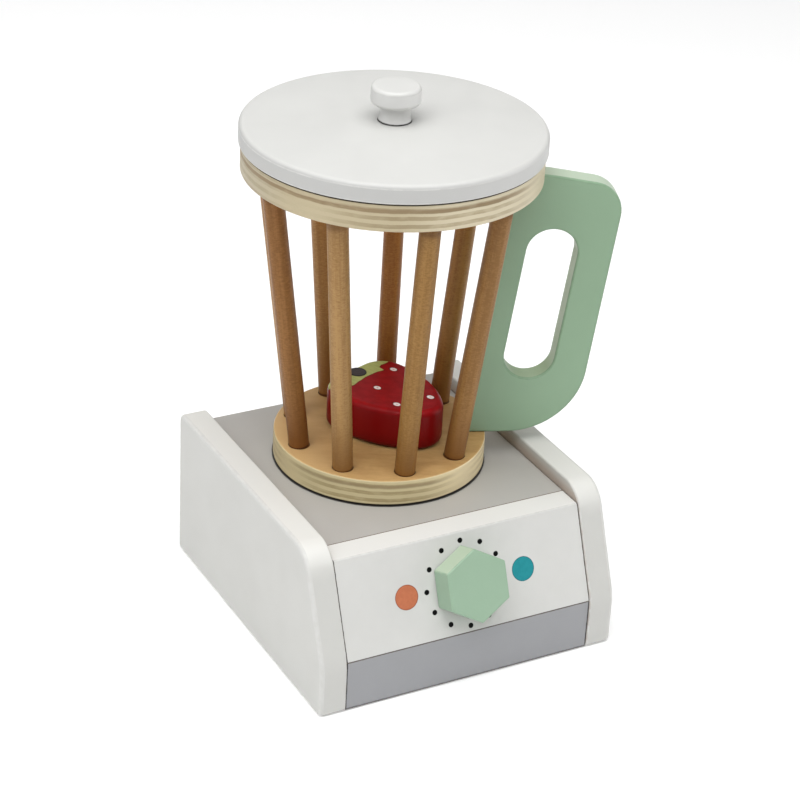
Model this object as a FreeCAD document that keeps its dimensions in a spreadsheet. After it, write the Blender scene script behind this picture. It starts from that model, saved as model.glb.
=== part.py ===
import FreeCAD, Part
import math
import os
import re

import Sketcher
from FreeCAD import Placement, Rotation, Vector

# Wooden toy blender with a lift-off jug, as a parametric FreeCAD document.
#
# A box-shaped base of painted boards carries a turning speed knob on its sloped front.
# The jug is a plywood disc and a plywood ring joined by leaning beech dowels and a flat
# handle.  A turned lid closes it, and a wooden strawberry lies inside.
#
# Millimetres, +Z up, the front towards -Y.  The origin is the middle of the base's
# footprint, on the surface it stands on.

SIZES = {
    # base box
    "base_width": 142.0,
    "base_depth": 148.0,
    "side_height": 70.8,
    "side_board": 12.0,
    "side_top_radius": 13.5,
    "side_knee_radius": 25.0,
    "side_back_radius": 4.0,
    "side_foot_radius": 2.5,
    "outer_round": 1.6,
    "inner_round": 0.7,
    "front_slope": 22.0,
    "front_board": 11.0,
    "front_recess": 0.8,
    "front_edge_round": 0.8,
    "kick_top": 24.0,
    "kick_board": 12.0,
    "deck_height": 64.3,
    "deck_board": 12.0,
    "back_board": 9.0,
    "board_lift": 0.5,
    "floor_board": 4.0,
    "floor_fit": 0.25,
    "block_side": 14.0,
    "block_height": 16.0,
    # pins and screws
    "pin_diameter": 6.0,
    "pin_length": 20.0,
    "pin_side_depth": 8.0,
    "pin_inset": 26.0,
    "pin_end_gap": 0.3,
    "pin_bevel": 0.6,
    "glue_gap": 0.05,
    "floor_screw_diameter": 3.0,
    "floor_screw_head": 6.0,
    "floor_screw_length": 14.0,
    "floor_screw_sink": 0.2,
    # speed knob
    "dial_drop": 21.8,
    "knob_corner_radius": 16.1,
    "knob_height": 12.2,
    "knob_round": 0.8,
    "knob_gap": 0.3,
    "spindle_diameter": 8.0,
    "spindle_seat": 8.0,
    "spindle_running_gap": 0.06,
    "washer_diameter": 18.0,
    "washer_thickness": 1.5,
    "washer_gap": 0.3,
    "spindle_screw_diameter": 3.0,
    "spindle_screw_length": 11.0,
    "spindle_screw_head": 6.5,
    "spindle_screw_head_height": 2.2,
    # jug
    "jug_setback": 16.5,
    "jug_rest_gap": 0.3,
    "jug_turn": -21.2,
    "cage_places": 9,
    "cage_height": 123.4,
    "ply_board": 12.0,
    "ply_round": 0.8,
    "disc_diameter": 93.5,
    "ring_diameter": 127.2,
    "ring_opening": 94.0,
    "dowel_diameter": 9.0,
    "dowel_foot_radius": 39.0,
    "dowel_head_radius": 54.8,
    "dowel_seat": 8.0,
    "dowel_bevel": 0.5,
    # handle
    "handle_board": 10.0,
    "handle_top_reach": 100.7,
    "handle_lean": 6.8,
    "handle_flat_reach": 64.0,
    "handle_brow_angle": 9.8,
    "handle_brow_radius": 60.0,
    "handle_shoulder_radius": 14.0,
    "handle_heel_radius": 33.0,
    "handle_round": 0.9,
    "grip_low_reach": 63.7,
    "grip_low_height": 38.0,
    "grip_high_reach": 69.8,
    "grip_high_height": 86.7,
    "grip_radius": 11.2,
    "handle_pin_diameter": 5.0,
    "handle_pin_length": 16.0,
    "handle_pin_foot_reach": 41.0,
    "handle_pin_head_reach": 57.5,
    # lid
    "lid_gap": 0.3,
    "lid_diameter": 129.2,
    "lid_rim": 8.1,
    "lid_dome": 2.0,
    "lid_round": 2.0,
    "plug_diameter": 92.0,
    "plug_height": 6.0,
    "plug_bevel": 1.0,
    "lid_knob_foot": 14.6,
    "lid_knob_waist": 12.8,
    "lid_knob_cap": 21.0,
    "lid_knob_neck_height": 7.6,
    "lid_knob_height": 15.5,
    "lid_knob_round": 1.6,
    "lid_screw_diameter": 3.5,
    "lid_screw_head": 7.0,
    "lid_screw_bite": 9.0,
    # strawberry
    "berry_length": 52.0,
    "berry_thickness": 19.0,
    "berry_shoulder_radius": 12.2,
    "berry_half_width": 21.4,
    "berry_side_radius": 48.0,
    "berry_tip_radius": 12.0,
    "berry_round": 3.0,
    "berry_gap": 0.3,
    "berry_turn": -70.0,
    "berry_shift_x": 5.0,
    "berry_shift_y": -1.1,
    "stem_diameter": 8.0,
    "stem_depth": 5.0,
    "stem_inset": 5.0,
    "stem_rise": 0.4,
}

# Derived lengths, as expressions of the sheet.
HALF_INSIDE = "(base_width / 2 - side_board)"
FRONT = "(-base_depth / 2)"
BACK = "(base_depth / 2)"
FACE_FOOT = "(-base_depth / 2 + front_recess)"
FACE_TOP = "(-base_depth / 2 + front_recess + (deck_height - kick_top) * tan(front_slope))"
FACE_LENGTH = "((deck_height - kick_top) / cos(front_slope))"
FACE_STEP = "(front_board * tan(front_slope))"
DECK_MIDDLE = "(deck_height - deck_board / 2)"
BOARD_PIN_DEPTH = "(pin_length - pin_side_depth + pin_end_gap)"
DOWEL_LEAN = "atan((dowel_head_radius - dowel_foot_radius) / cage_height)"
HANDLE_FALL = (
    "((handle_top_reach - handle_flat_reach) * tan(handle_brow_angle)"
    " / (1 + tan(handle_lean) * tan(handle_brow_angle)))"
)

doc = FreeCAD.newDocument("toy_blender")
sheet = doc.addObject("Spreadsheet::Sheet", "Sizes")
nodes = []


def fill_sheet():
    """Writes each driving size to its own cell, with its name as the alias."""
    for row, (alias, number) in enumerate(SIZES.items(), start=1):
        sheet.set(f"A{row}", alias)
        sheet.set(f"B{row}", str(number))
        sheet.setAlias(f"B{row}", alias)
    doc.recompute()


def bound(expression):
    """The expression with each size's name pointed at the sheet."""
    names = re.findall(r"[a-z_]+", expression)
    for name in sorted(set(names) & set(SIZES), key=len, reverse=True):
        expression = re.sub(rf"(?<![a-z_.]){name}(?![a-z_(])", f"Sizes.{name}", expression)
    return expression


def value(expression):
    """The number that an expression of the sheet's sizes gives."""
    result = sheet.evalExpression(bound(expression))
    return float(getattr(result, "Value", result))


def new_body(label, placement=Placement()):
    """A PartDesign body for one sub-part, noted for export under its label."""
    body = doc.addObject("PartDesign::Body", label)
    body.Label = label
    body.AllowCompound = True
    body.Placement = placement
    nodes.append(body)
    return body


def origin_feature(body, role):
    """The body's own origin plane or axis with the given role."""
    return next(f for f in body.Origin.OriginFeatures if f.Role == role)


def new_sketch(body, name, role="XY_Plane", offset="0"):
    """An empty sketch on an origin plane of its own body, raised by the offset."""
    sketch = body.newObject("Sketcher::SketchObject", name)
    sketch.AttachmentSupport = (origin_feature(body, role), [""])
    sketch.MapMode = "FlatFace"
    sketch.AttachmentOffset = Placement(Vector(0, 0, value(offset)), Rotation())
    sketch.setExpression("AttachmentOffset.Base.z", bound(offset))
    return sketch


def tie(sketch, kind, *where, to):
    """Adds a constraint whose datum follows an expression of the sheet."""
    index = sketch.addConstraint(Sketcher.Constraint(kind, *where, value(to)))
    sketch.setExpression(f"Constraints[{index}]", bound(to))


def tie_point(sketch, geometry, end, x, y):
    """Holds one point of the geometry at (x, y), both expressions."""
    tie(sketch, "DistanceX", -1, 1, geometry, end, to=x)
    tie(sketch, "DistanceY", -1, 1, geometry, end, to=y)


def draw_polygon(sketch, points):
    """A closed outline of straight lines through points given as expressions."""
    corners = [Vector(value(x), value(y), 0) for x, y in points]
    lines = []
    for start, end in zip(corners, corners[1:] + corners[:1]):
        lines.append(sketch.addGeometry(Part.LineSegment(start, end), False))
    for line, following in zip(lines, lines[1:] + lines[:1]):
        sketch.addConstraint(Sketcher.Constraint("Coincident", line, 2, following, 1))
    for line, (x, y) in zip(lines, points):
        tie_point(sketch, line, 1, x, y)


def draw_circle(sketch, x, y, radius):
    """A circle whose centre and radius are expressions."""
    circle = Part.Circle(Vector(value(x), value(y), 0), Vector(0, 0, 1), value(radius))
    index = sketch.addGeometry(circle, False)
    tie_point(sketch, index, 3, x, y)
    tie(sketch, "Radius", index, to=radius)


def pad(body, sketch, length, middle=False):
    """Pads the sketch along its normal, or half to each side of its plane."""
    feature = body.newObject("PartDesign::Pad", f"{sketch.Name}_pad")
    feature.Profile = sketch
    feature.Length = value(length)
    feature.setExpression("Length", bound(length))
    feature.Midplane = middle
    doc.recompute()
    return feature


def pocket(body, sketch, depth, forward=False):
    """Cuts the sketch against its normal, or along it, and proves that it cut."""
    before = body.Shape.Volume
    feature = body.newObject("PartDesign::Pocket", f"{sketch.Name}_pocket")
    feature.Profile = sketch
    feature.Length = value(depth)
    feature.setExpression("Length", bound(depth))
    feature.Reversed = forward
    doc.recompute()
    if body.Shape.Volume > before - 1e-3:
        raise RuntimeError(f"{feature.Name} cut nothing")
    return feature


def revolve(body, sketch):
    """Turns the sketch a full circle about its own vertical axis."""
    feature = body.newObject("PartDesign::Revolution", f"{sketch.Name}_turned")
    feature.Profile = sketch
    feature.ReferenceAxis = (sketch, ["V_Axis"])
    feature.Angle = 360
    doc.recompute()
    return feature


def find_edges(body, test):
    """The names of the edges, in the body's own frame, that pass the test."""
    edges = enumerate(body.Tip.Shape.Edges, start=1)
    return [f"Edge{i}" for i, edge in edges if not edge.Degenerated and test(edge)]


def dress(body, kind, size, test, count=None):
    """Fillets or chamfers the edges that pass the test, and proves how many there are."""
    edges = find_edges(body, test)
    if not edges or (count is not None and len(edges) != count):
        raise RuntimeError(f"{body.Label}: {len(edges)} edges found for a {kind}")
    base = body.Tip
    feature = body.newObject(f"PartDesign::{kind}", f"{body.Name}_{kind.lower()}")
    feature.Base = (base, edges)
    setting = "Radius" if kind == "Fillet" else "Size"
    setattr(feature, setting, value(size))
    feature.setExpression(setting, bound(size))
    doc.recompute()
    return feature


def mirror_x(body, feature):
    """Repeats a feature on the other side of the body's own YZ plane."""
    mirrored = body.newObject("PartDesign::Mirrored", f"{feature.Name}_mirrored")
    mirrored.Originals = [feature]
    mirrored.MirrorPlane = (origin_feature(body, "YZ_Plane"), [""])
    body.Tip = mirrored
    doc.recompute()
    return mirrored


def along(edge, axis):
    """Whether a straight edge runs parallel to the axis."""
    if edge.Curve.TypeId != "Part::GeomLine":
        return False
    return abs(abs(edge.tangentAt(edge.FirstParameter).dot(axis)) - 1) < 1e-6


def lies_in(edge, axis, height):
    """Whether the whole edge lies in the plane at this height along the axis."""
    ends = (edge.FirstParameter, (edge.FirstParameter + edge.LastParameter) / 2)
    return all(abs(edge.valueAt(p).dot(axis) - height) < 1e-4 for p in ends)


def near(edge, x, y, first, second):
    """Whether the middle of the edge is at (x, y), measured along two axes."""
    middle = edge.CenterOfMass
    return math.hypot(middle.dot(first) - x, middle.dot(second) - y) < 0.05


X, Y, Z = Vector(1, 0, 0), Vector(0, 1, 0), Vector(0, 0, 1)


def corner(x, y, first, second):
    """A test for the straight edges across a profile's corner at (x, y)."""
    across = first.cross(second)
    place = (value(x), value(y), first, second)
    return lambda edge: along(edge, across) and near(edge, *place)


def rim(axis, height):
    """A test for the edges that lie in the plane at this height along the axis."""
    return lambda edge: lies_in(edge, axis, value(height))


def circle_of(radius, height):
    """A test for the round edges of this radius at this height."""

    def test(edge):
        if edge.Curve.TypeId != "Part::GeomCircle" or not lies_in(edge, Z, value(height)):
            return False
        return abs(edge.Curve.Radius - value(radius)) < 1e-4

    return test


# Where the pins that hold the boards between the two sides are, as (y, z).
FACE_MIDDLE = (f"(-{FACE_LENGTH} / 2 + {FACE_STEP} / 2)", "(-front_board / 2)")
PINS = {
    "deck": [
        (f"({FACE_TOP} + pin_inset)", DECK_MIDDLE),
        (f"({BACK} - pin_inset)", DECK_MIDDLE),
    ],
    "kick": [(f"({FACE_FOOT} + kick_board / 2)", "((kick_top + board_lift) / 2)")],
    "back": [
        (f"({BACK} - back_board / 2)", "(pin_inset / 2)"),
        (f"({BACK} - back_board / 2)", "(deck_height - deck_board - pin_inset / 2)"),
    ],
    "front": [
        (
            f"({FACE_TOP} + {FACE_MIDDLE[0]} * sin(front_slope)"
            f" - {FACE_MIDDLE[1]} * cos(front_slope))",
            f"(deck_height + {FACE_MIDDLE[0]} * cos(front_slope)"
            f" + {FACE_MIDDLE[1]} * sin(front_slope))",
        )
    ],
}
BLOCK_X = "(base_width / 2 - side_board - block_side / 2)"
BLOCK_ROWS = (
    f"({FACE_FOOT} + kick_board + block_side / 2)",
    f"({BACK} - back_board - block_side / 2)",
)
BLOCK_PLACES = [(f"({side} * {BLOCK_X})", row) for side in (-1, 1) for row in BLOCK_ROWS]


def frames():
    """The placements that sub-parts share: sloped face, dial, jug foot, cage and lid."""
    slope = Rotation(X, 90 - value("front_slope"))
    face = Placement(Vector(0, value(FACE_TOP), value("deck_height")), slope)
    dial = face * Placement(Vector(0, -value("dial_drop"), 0), Rotation())
    foot_height = value("deck_height + jug_rest_gap")
    turn = Rotation(Z, value("jug_turn"))
    jug = Placement(Vector(0, value("jug_setback"), foot_height), turn)
    cage = jug * Placement(Vector(0, 0, value("ply_board")), Rotation())
    ring = cage * Placement(Vector(0, 0, value("cage_height")), Rotation())
    lid = ring * Placement(Vector(0, 0, value("ply_board + lid_gap")), Rotation())
    return {"face": face, "dial": dial, "jug": jug, "cage": cage, "ring": ring, "lid": lid}


def end_holes(body, places):
    """Blind pin holes in both ends of a board that lies between the two sides."""
    sketch = new_sketch(body, f"{body.Name}_pins", "YZ_Plane", HALF_INSIDE)
    for y, z in places:
        draw_circle(sketch, y, z, "pin_diameter / 2 + glue_gap")
    mirror_x(body, pocket(body, sketch, BOARD_PIN_DEPTH))


def board(label, outline, pins):
    """A board between the two sides, with its section drawn in the YZ plane."""
    body = new_body(label)
    sketch = new_sketch(body, f"{label}_section", "YZ_Plane")
    draw_polygon(sketch, outline)
    pad(body, sketch, f"2 * {HALF_INSIDE}", middle=True)
    end_holes(body, pins)


def side_panel(label, side):
    """A side panel with its rounded profile; side is -1 for the left, 1 for the right."""
    body = new_body(label)
    inner = f"({side} * {HALF_INSIDE})"
    outer = f"({side} * base_width / 2)"
    brow = f"({FRONT} + (side_height - kick_top) * tan(front_slope))"
    sketch = new_sketch(body, f"{label}_profile", "YZ_Plane", outer if side < 0 else inner)
    corners = {
        (FRONT, "0"): "side_foot_radius",
        (FRONT, "kick_top"): "side_knee_radius",
        (brow, "side_height"): "side_top_radius",
        (BACK, "side_height"): "side_back_radius",
        (BACK, "0"): "side_foot_radius",
    }
    draw_polygon(sketch, list(corners))
    pad(body, sketch, "side_board")
    for (y, z), radius in corners.items():
        dress(body, "Fillet", radius, corner(y, z, Y, Z), 1)
    dress(body, "Fillet", "outer_round", rim(X, outer))
    dress(body, "Fillet", "inner_round", rim(X, inner))
    holes = new_sketch(body, f"{label}_pins", "YZ_Plane", inner)
    for places in PINS.values():
        for y, z in places:
            draw_circle(holes, y, z, "pin_diameter / 2 + glue_gap")
    pocket(body, holes, "pin_side_depth + pin_end_gap", forward=side > 0)


def base_boards():
    """The deck under the jug, the kick board and the back board."""
    top = f"({FACE_TOP} + front_board / cos(front_slope))"
    under = "(deck_height - deck_board)"
    deck = [
        (top, "deck_height"),
        (f"({top} - deck_board * tan(front_slope))", under),
        (BACK, under),
        (BACK, "deck_height"),
    ]
    kick_back = f"({FACE_FOOT} + kick_board)"
    kick = [
        (FACE_FOOT, "board_lift"),
        (kick_back, "board_lift"),
        (kick_back, "kick_top"),
        (FACE_FOOT, "kick_top"),
    ]
    inner = f"({BACK} - back_board)"
    back = [(inner, "board_lift"), (BACK, "board_lift"), (BACK, under), (inner, under)]
    board("deck_panel", deck, PINS["deck"])
    board("kick_panel", kick, PINS["kick"])
    board("back_panel", back, PINS["back"])


def front_panel(place):
    """The sloped board that carries the dial, with its spindle hole."""
    body = new_body("front_panel", place["face"])
    sketch = new_sketch(body, "front_section", "YZ_Plane")
    foot = f"(-{FACE_LENGTH})"
    outline = [
        ("0", "0"),
        (foot, "0"),
        (f"({foot} + {FACE_STEP})", "(-front_board)"),
        (FACE_STEP, "(-front_board)"),
    ]
    draw_polygon(sketch, outline)
    pad(body, sketch, f"2 * {HALF_INSIDE}", middle=True)
    dress(body, "Fillet", "front_edge_round", corner("0", "0", Y, Z), 1)
    bore = new_sketch(body, "spindle_bore")
    draw_circle(bore, "0", "-dial_drop", "spindle_diameter / 2 + spindle_running_gap")
    pocket(body, bore, "front_board")
    end_holes(body, [FACE_MIDDLE])


def floor_panel():
    """The bottom board with a countersunk hole under each glue block."""
    body = new_body("floor_panel")
    sketch = new_sketch(body, "floor_outline")
    edge = f"({HALF_INSIDE} - floor_fit)"
    near_y = f"({FACE_FOOT} + kick_board + floor_fit)"
    far_y = f"({BACK} - back_board - floor_fit)"
    corners = [(f"(-{edge})", near_y), (edge, near_y), (edge, far_y), (f"(-{edge})", far_y)]
    draw_polygon(sketch, corners)
    pad(body, sketch, "floor_board")
    drill = new_sketch(body, "floor_drilling")
    for x, y in BLOCK_PLACES:
        draw_circle(drill, x, y, "floor_screw_diameter / 2 + glue_gap")
    before = body.Shape.Volume
    hole = body.newObject("PartDesign::Hole", "floor_holes")
    hole.Profile = drill
    hole.Reversed = True
    doc.recompute()
    hole.ThreadType = "None"
    hole.DepthType = "ThroughAll"
    hole.HoleCutType = "Countersink"
    hole.HoleCutCustomValues = True
    hole.HoleCutCountersinkAngle = 90
    hole.setExpression("Diameter", bound("floor_screw_diameter + 2 * glue_gap"))
    mouth = "floor_screw_head + 2 * (glue_gap + floor_screw_sink)"
    hole.setExpression("HoleCutDiameter", bound(mouth))
    doc.recompute()
    if body.Shape.Volume > before - 1e-3:
        raise RuntimeError("the floor's holes cut nothing")


def glue_blocks():
    """Four blocks in the corners of the base, which the floor is screwed to."""
    body = new_body("glue_blocks")
    sketch = new_sketch(body, "block_outlines", offset="floor_board")
    for x, y in BLOCK_PLACES:
        reach = "block_side / 2"
        signs = (("-", "-"), ("+", "-"), ("+", "+"), ("-", "+"))
        draw_polygon(sketch, [(f"({x} {a} {reach})", f"({y} {b} {reach})") for a, b in signs])
    pad(body, sketch, "block_height")
    drill = new_sketch(body, "block_drilling", offset="floor_board")
    for x, y in BLOCK_PLACES:
        draw_circle(drill, x, y, "floor_screw_diameter / 2 + glue_gap")
    depth = "floor_screw_sink + floor_screw_length - floor_board + pin_end_gap"
    pocket(body, drill, depth, forward=True)


def floor_screws():
    """The four countersunk screws that hold the floor."""
    body = new_body("floor_screws")
    shanks = new_sketch(body, "screw_shanks", offset="floor_screw_sink")
    heads = new_sketch(body, "screw_heads", offset="floor_screw_sink")
    for x, y in BLOCK_PLACES:
        draw_circle(shanks, x, y, "floor_screw_diameter / 2")
        draw_circle(heads, x, y, "floor_screw_head / 2")
    pad(body, shanks, "floor_screw_length")
    cone = "((floor_screw_head - floor_screw_diameter) / 2)"
    pad(body, heads, cone)
    head_top = circle_of("floor_screw_head / 2", f"floor_screw_sink + {cone}")
    dress(body, "Chamfer", f"{cone} - glue_gap", head_top, len(BLOCK_PLACES))


def panel_pins():
    """The beech pins between the sides and the boards, all in one node."""
    body = new_body("panel_pins")
    start = f"(-{HALF_INSIDE} - pin_side_depth)"
    sketch = new_sketch(body, "pin_circles", "YZ_Plane", start)
    for places in PINS.values():
        for y, z in places:
            draw_circle(sketch, y, z, "pin_diameter / 2")
    pad(body, sketch, "pin_length")
    dress(body, "Chamfer", "pin_bevel", lambda e: e.Curve.TypeId == "Part::GeomCircle")
    mirrored = body.newObject("PartDesign::Mirrored", "pins_mirrored")
    mirrored.TransformMode = "Whole shape"
    mirrored.MirrorPlane = (origin_feature(body, "YZ_Plane"), [""])
    body.Tip = mirrored
    doc.recompute()


def bolt_profile(sketch, head, head_height, shank, length):
    """Half the outline of a screw: its head below the plane, its shank above it."""
    outline = [
        ("0", f"(-{head_height})"),
        (f"{head} / 2", f"(-{head_height})"),
        (f"{head} / 2", "0"),
        (f"{shank} / 2", "0"),
        (f"{shank} / 2", length),
        ("0", length),
    ]
    draw_polygon(sketch, outline)


def speed_knob(place):
    """The hexagonal knob, its spindle, and the washer and screw that keep it in."""
    gap = Placement(Vector(0, 0, value("knob_gap")), Rotation())
    knob = new_body("speed_knob", place["dial"] * gap)
    hexagon = new_sketch(knob, "knob_hexagon")
    bearings = range(30, 360, 60)
    reach = "knob_corner_radius"
    corners = [(f"({reach} * cos({b}))", f"({reach} * sin({b}))") for b in bearings]
    draw_polygon(hexagon, corners)
    pad(knob, hexagon, "knob_height")
    dress(knob, "Fillet", "knob_round", lambda edge: along(edge, Z), len(corners))
    dress(knob, "Fillet", "knob_round", rim(Z, "knob_height"))
    seat = new_sketch(knob, "knob_seat")
    draw_circle(seat, "0", "0", "spindle_diameter / 2 + glue_gap")
    pocket(knob, seat, "spindle_seat", forward=True)

    spindle = new_body("knob_spindle", place["dial"])
    end = "(-front_board - washer_gap)"
    rod = new_sketch(spindle, "spindle_circle", offset=end)
    draw_circle(rod, "0", "0", "spindle_diameter / 2")
    pad(spindle, rod, "front_board + washer_gap + knob_gap + spindle_seat")
    pilot = new_sketch(spindle, "spindle_pilot", offset=end)
    draw_circle(pilot, "0", "0", "spindle_screw_diameter / 2 + glue_gap")
    pocket(spindle, pilot, "spindle_screw_length", forward=True)

    washer = new_body("spindle_washer", place["dial"])
    ring = new_sketch(washer, "washer_ring", offset=f"({end} - washer_thickness)")
    draw_circle(ring, "0", "0", "washer_diameter / 2")
    draw_circle(ring, "0", "0", "spindle_screw_diameter / 2 + glue_gap")
    pad(washer, ring, "washer_thickness")

    under = Vector(0, 0, value(f"{end} - washer_thickness"))
    screw = new_body("spindle_screw", place["dial"] * Placement(under, Rotation()))
    profile = new_sketch(screw, "spindle_screw_profile", "XZ_Plane")
    length = "spindle_screw_length + washer_thickness - pin_end_gap"
    head = ("spindle_screw_head", "spindle_screw_head_height")
    bolt_profile(profile, *head, "spindle_screw_diameter", f"({length})")
    revolve(screw, profile)
    under_head = circle_of("spindle_screw_head / 2", "(-spindle_screw_head_height)")
    dress(screw, "Fillet", "spindle_screw_head_height / 2", under_head, 1)


def lean_holes(body, axis_radius, height, start, length):
    """Blind holes that lean outward, one at each of the cage's places but the handle's.

    Each hole's axis crosses the plane at this height at the given radius.  It starts at
    this distance along the leaning axis and runs upward for the length.
    """
    lean = Rotation(Y, value(DOWEL_LEAN))
    crossing = Vector(value(axis_radius), 0, value(height))
    foot = crossing + lean.multVec(Vector(0, 0, value(start)))
    turn = Placement(Vector(), Rotation(Z, 360 / value("cage_places")))
    before = body.Shape.Volume
    drill = body.newObject("PartDesign::SubtractiveCylinder", f"{body.Name}_drill")
    drill.AttachmentSupport = (origin_feature(body, "XY_Plane"), [""])
    drill.MapMode = "FlatFace"
    drill.AttachmentOffset = turn * Placement(foot, lean)
    drill.setExpression("Radius", bound("dowel_diameter / 2 + glue_gap"))
    drill.setExpression("Height", bound(length))
    doc.recompute()
    pattern = body.newObject("PartDesign::PolarPattern", f"{body.Name}_drills")
    pattern.Originals = [drill]
    pattern.Axis = (origin_feature(body, "Z_Axis"), [""])
    pattern.setExpression("Angle", bound("360 / cage_places * (cage_places - 2)"))
    pattern.setExpression("Occurrences", bound("cage_places - 1"))
    body.Tip = pattern
    doc.recompute()
    if body.Shape.Volume > before - 1e-3:
        raise RuntimeError(f"{body.Label}: the dowel holes cut nothing")


def jug_boards(place):
    """The plywood foot disc and the plywood ring that the lid sits on."""
    disc = new_body("jug_base_disc", place["jug"])
    round_outline = new_sketch(disc, "disc_circle")
    draw_circle(round_outline, "0", "0", "disc_diameter / 2")
    pad(disc, round_outline, "ply_board")
    dress(disc, "Fillet", "ply_round", lambda e: e.Curve.TypeId == "Part::GeomCircle", 2)
    overshoot = "dowel_diameter"
    lean_holes(
        disc, "dowel_foot_radius", "ply_board", "(-dowel_seat)", f"dowel_seat + {overshoot}"
    )
    foot_pin = new_sketch(disc, "disc_pin", offset="ply_board")
    draw_circle(foot_pin, "handle_pin_foot_reach", "0", "handle_pin_diameter / 2 + glue_gap")
    pocket(disc, foot_pin, "handle_pin_length / 2 + pin_end_gap")

    ring = new_body("jug_ring", place["ring"])
    two_circles = new_sketch(ring, "ring_circles")
    draw_circle(two_circles, "0", "0", "ring_diameter / 2")
    draw_circle(two_circles, "0", "0", "ring_opening / 2")
    pad(ring, two_circles, "ply_board")
    dress(ring, "Fillet", "ply_round", lambda e: e.Curve.TypeId == "Part::GeomCircle", 4)
    lean_holes(
        ring, "dowel_head_radius", "0", f"(-{overshoot})", f"dowel_seat + {overshoot}"
    )
    head_pin = new_sketch(ring, "ring_pin")
    draw_circle(head_pin, "handle_pin_head_reach", "0", "handle_pin_diameter / 2 + glue_gap")
    pocket(ring, head_pin, "handle_pin_length / 2 + pin_end_gap", forward=True)


def jug_dowels(place):
    """The leaning dowels of the cage, each seated in the disc and in the ring."""
    lean = Rotation(Y, value(DOWEL_LEAN))
    foot = Vector(value("dowel_foot_radius"), 0, 0)
    seat = foot - lean.multVec(Vector(0, 0, value("dowel_seat")))
    places = int(value("cage_places"))
    for number in range(1, places):
        turn = Placement(Vector(), Rotation(Z, 360 / places * number))
        body = new_body(f"jug_dowel_{number}", place["cage"] * turn * Placement(seat, lean))
        sketch = new_sketch(body, f"dowel_circle_{number}")
        draw_circle(sketch, "0", "0", "dowel_diameter / 2")
        pad(body, sketch, f"cage_height / cos({DOWEL_LEAN}) + 2 * dowel_seat")
        dress(body, "Chamfer", "dowel_bevel", lambda e: e.Curve.TypeId == "Part::GeomCircle", 2)


def draw_grip(sketch):
    """The long rounded opening of the handle, as two arcs and the lines that touch them."""
    low = Vector(value("grip_low_reach"), value("grip_low_height"), 0)
    high = Vector(value("grip_high_reach"), value("grip_high_height"), 0)
    radius = value("grip_radius")
    tilt = math.atan2(high.y - low.y, high.x - low.x)
    across = Vector(-math.sin(tilt), math.cos(tilt), 0) * radius
    quarter = math.pi / 2

    def arc(centre, start, end):
        return Part.ArcOfCircle(Part.Circle(centre, Z, radius), start, end)

    bottom = sketch.addGeometry(arc(low, tilt + quarter, tilt + 3 * quarter), False)
    right = sketch.addGeometry(Part.LineSegment(low - across, high - across), False)
    top = sketch.addGeometry(arc(high, tilt - quarter, tilt + quarter), False)
    left = sketch.addGeometry(Part.LineSegment(high + across, low + across), False)
    chain = (bottom, right, top, left)
    for piece, following in zip(chain, chain[1:] + chain[:1]):
        sketch.addConstraint(Sketcher.Constraint("Tangent", piece, 2, following, 1))
    sketch.addConstraint(Sketcher.Constraint("Equal", bottom, top))
    tie(sketch, "Radius", bottom, to="grip_radius")
    tie_point(sketch, bottom, 3, "grip_low_reach", "grip_low_height")
    tie_point(sketch, top, 3, "grip_high_reach", "grip_high_height")


def jug_handle(place):
    """The flat handle between the disc and the ring, and the pins that hold it."""
    body = new_body("jug_handle", place["cage"])
    outline = new_sketch(body, "handle_outline", "XZ_Plane")
    heel = ("(handle_top_reach - cage_height * tan(handle_lean))", "0")
    shoulder = (
        f"(handle_top_reach - {HANDLE_FALL} * tan(handle_lean))",
        f"(cage_height - {HANDLE_FALL})",
    )
    brow = ("handle_flat_reach", "cage_height")
    inner_foot = ("(dowel_foot_radius - dowel_diameter / 2)", "0")
    inner_head = ("(dowel_head_radius - dowel_diameter / 2)", "cage_height")
    draw_polygon(outline, [inner_foot, heel, shoulder, brow, inner_head])
    pad(body, outline, "handle_board", middle=True)
    dress(body, "Fillet", "handle_heel_radius", corner(*heel, X, Z), 1)
    dress(body, "Fillet", "handle_shoulder_radius", corner(*shoulder, X, Z), 1)
    dress(body, "Fillet", "handle_brow_radius", corner(*brow, X, Z), 1)
    grip = new_sketch(body, "grip_outline", "XZ_Plane", "handle_board / 2")
    draw_grip(grip)
    pocket(body, grip, "handle_board")
    faces = (value("handle_board / 2"), value("-handle_board / 2"))
    dress(body, "Fillet", "handle_round", lambda e: any(lies_in(e, Y, y) for y in faces))
    depth = "handle_pin_length / 2 + pin_end_gap"
    radius = "handle_pin_diameter / 2 + glue_gap"
    foot_hole = new_sketch(body, "handle_foot_hole")
    draw_circle(foot_hole, "handle_pin_foot_reach", "0", radius)
    pocket(body, foot_hole, depth, forward=True)
    head_hole = new_sketch(body, "handle_head_hole", offset="cage_height")
    draw_circle(head_hole, "handle_pin_head_reach", "0", radius)
    pocket(body, head_hole, depth)

    pins = new_body("handle_pins", place["cage"])
    for end, height in (("foot", "0"), ("head", "cage_height")):
        start = f"({height} - handle_pin_length / 2)"
        sketch = new_sketch(pins, f"handle_{end}_pin", offset=start)
        draw_circle(sketch, f"handle_pin_{end}_reach", "0", "handle_pin_diameter / 2")
        pad(pins, sketch, "handle_pin_length")


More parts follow.
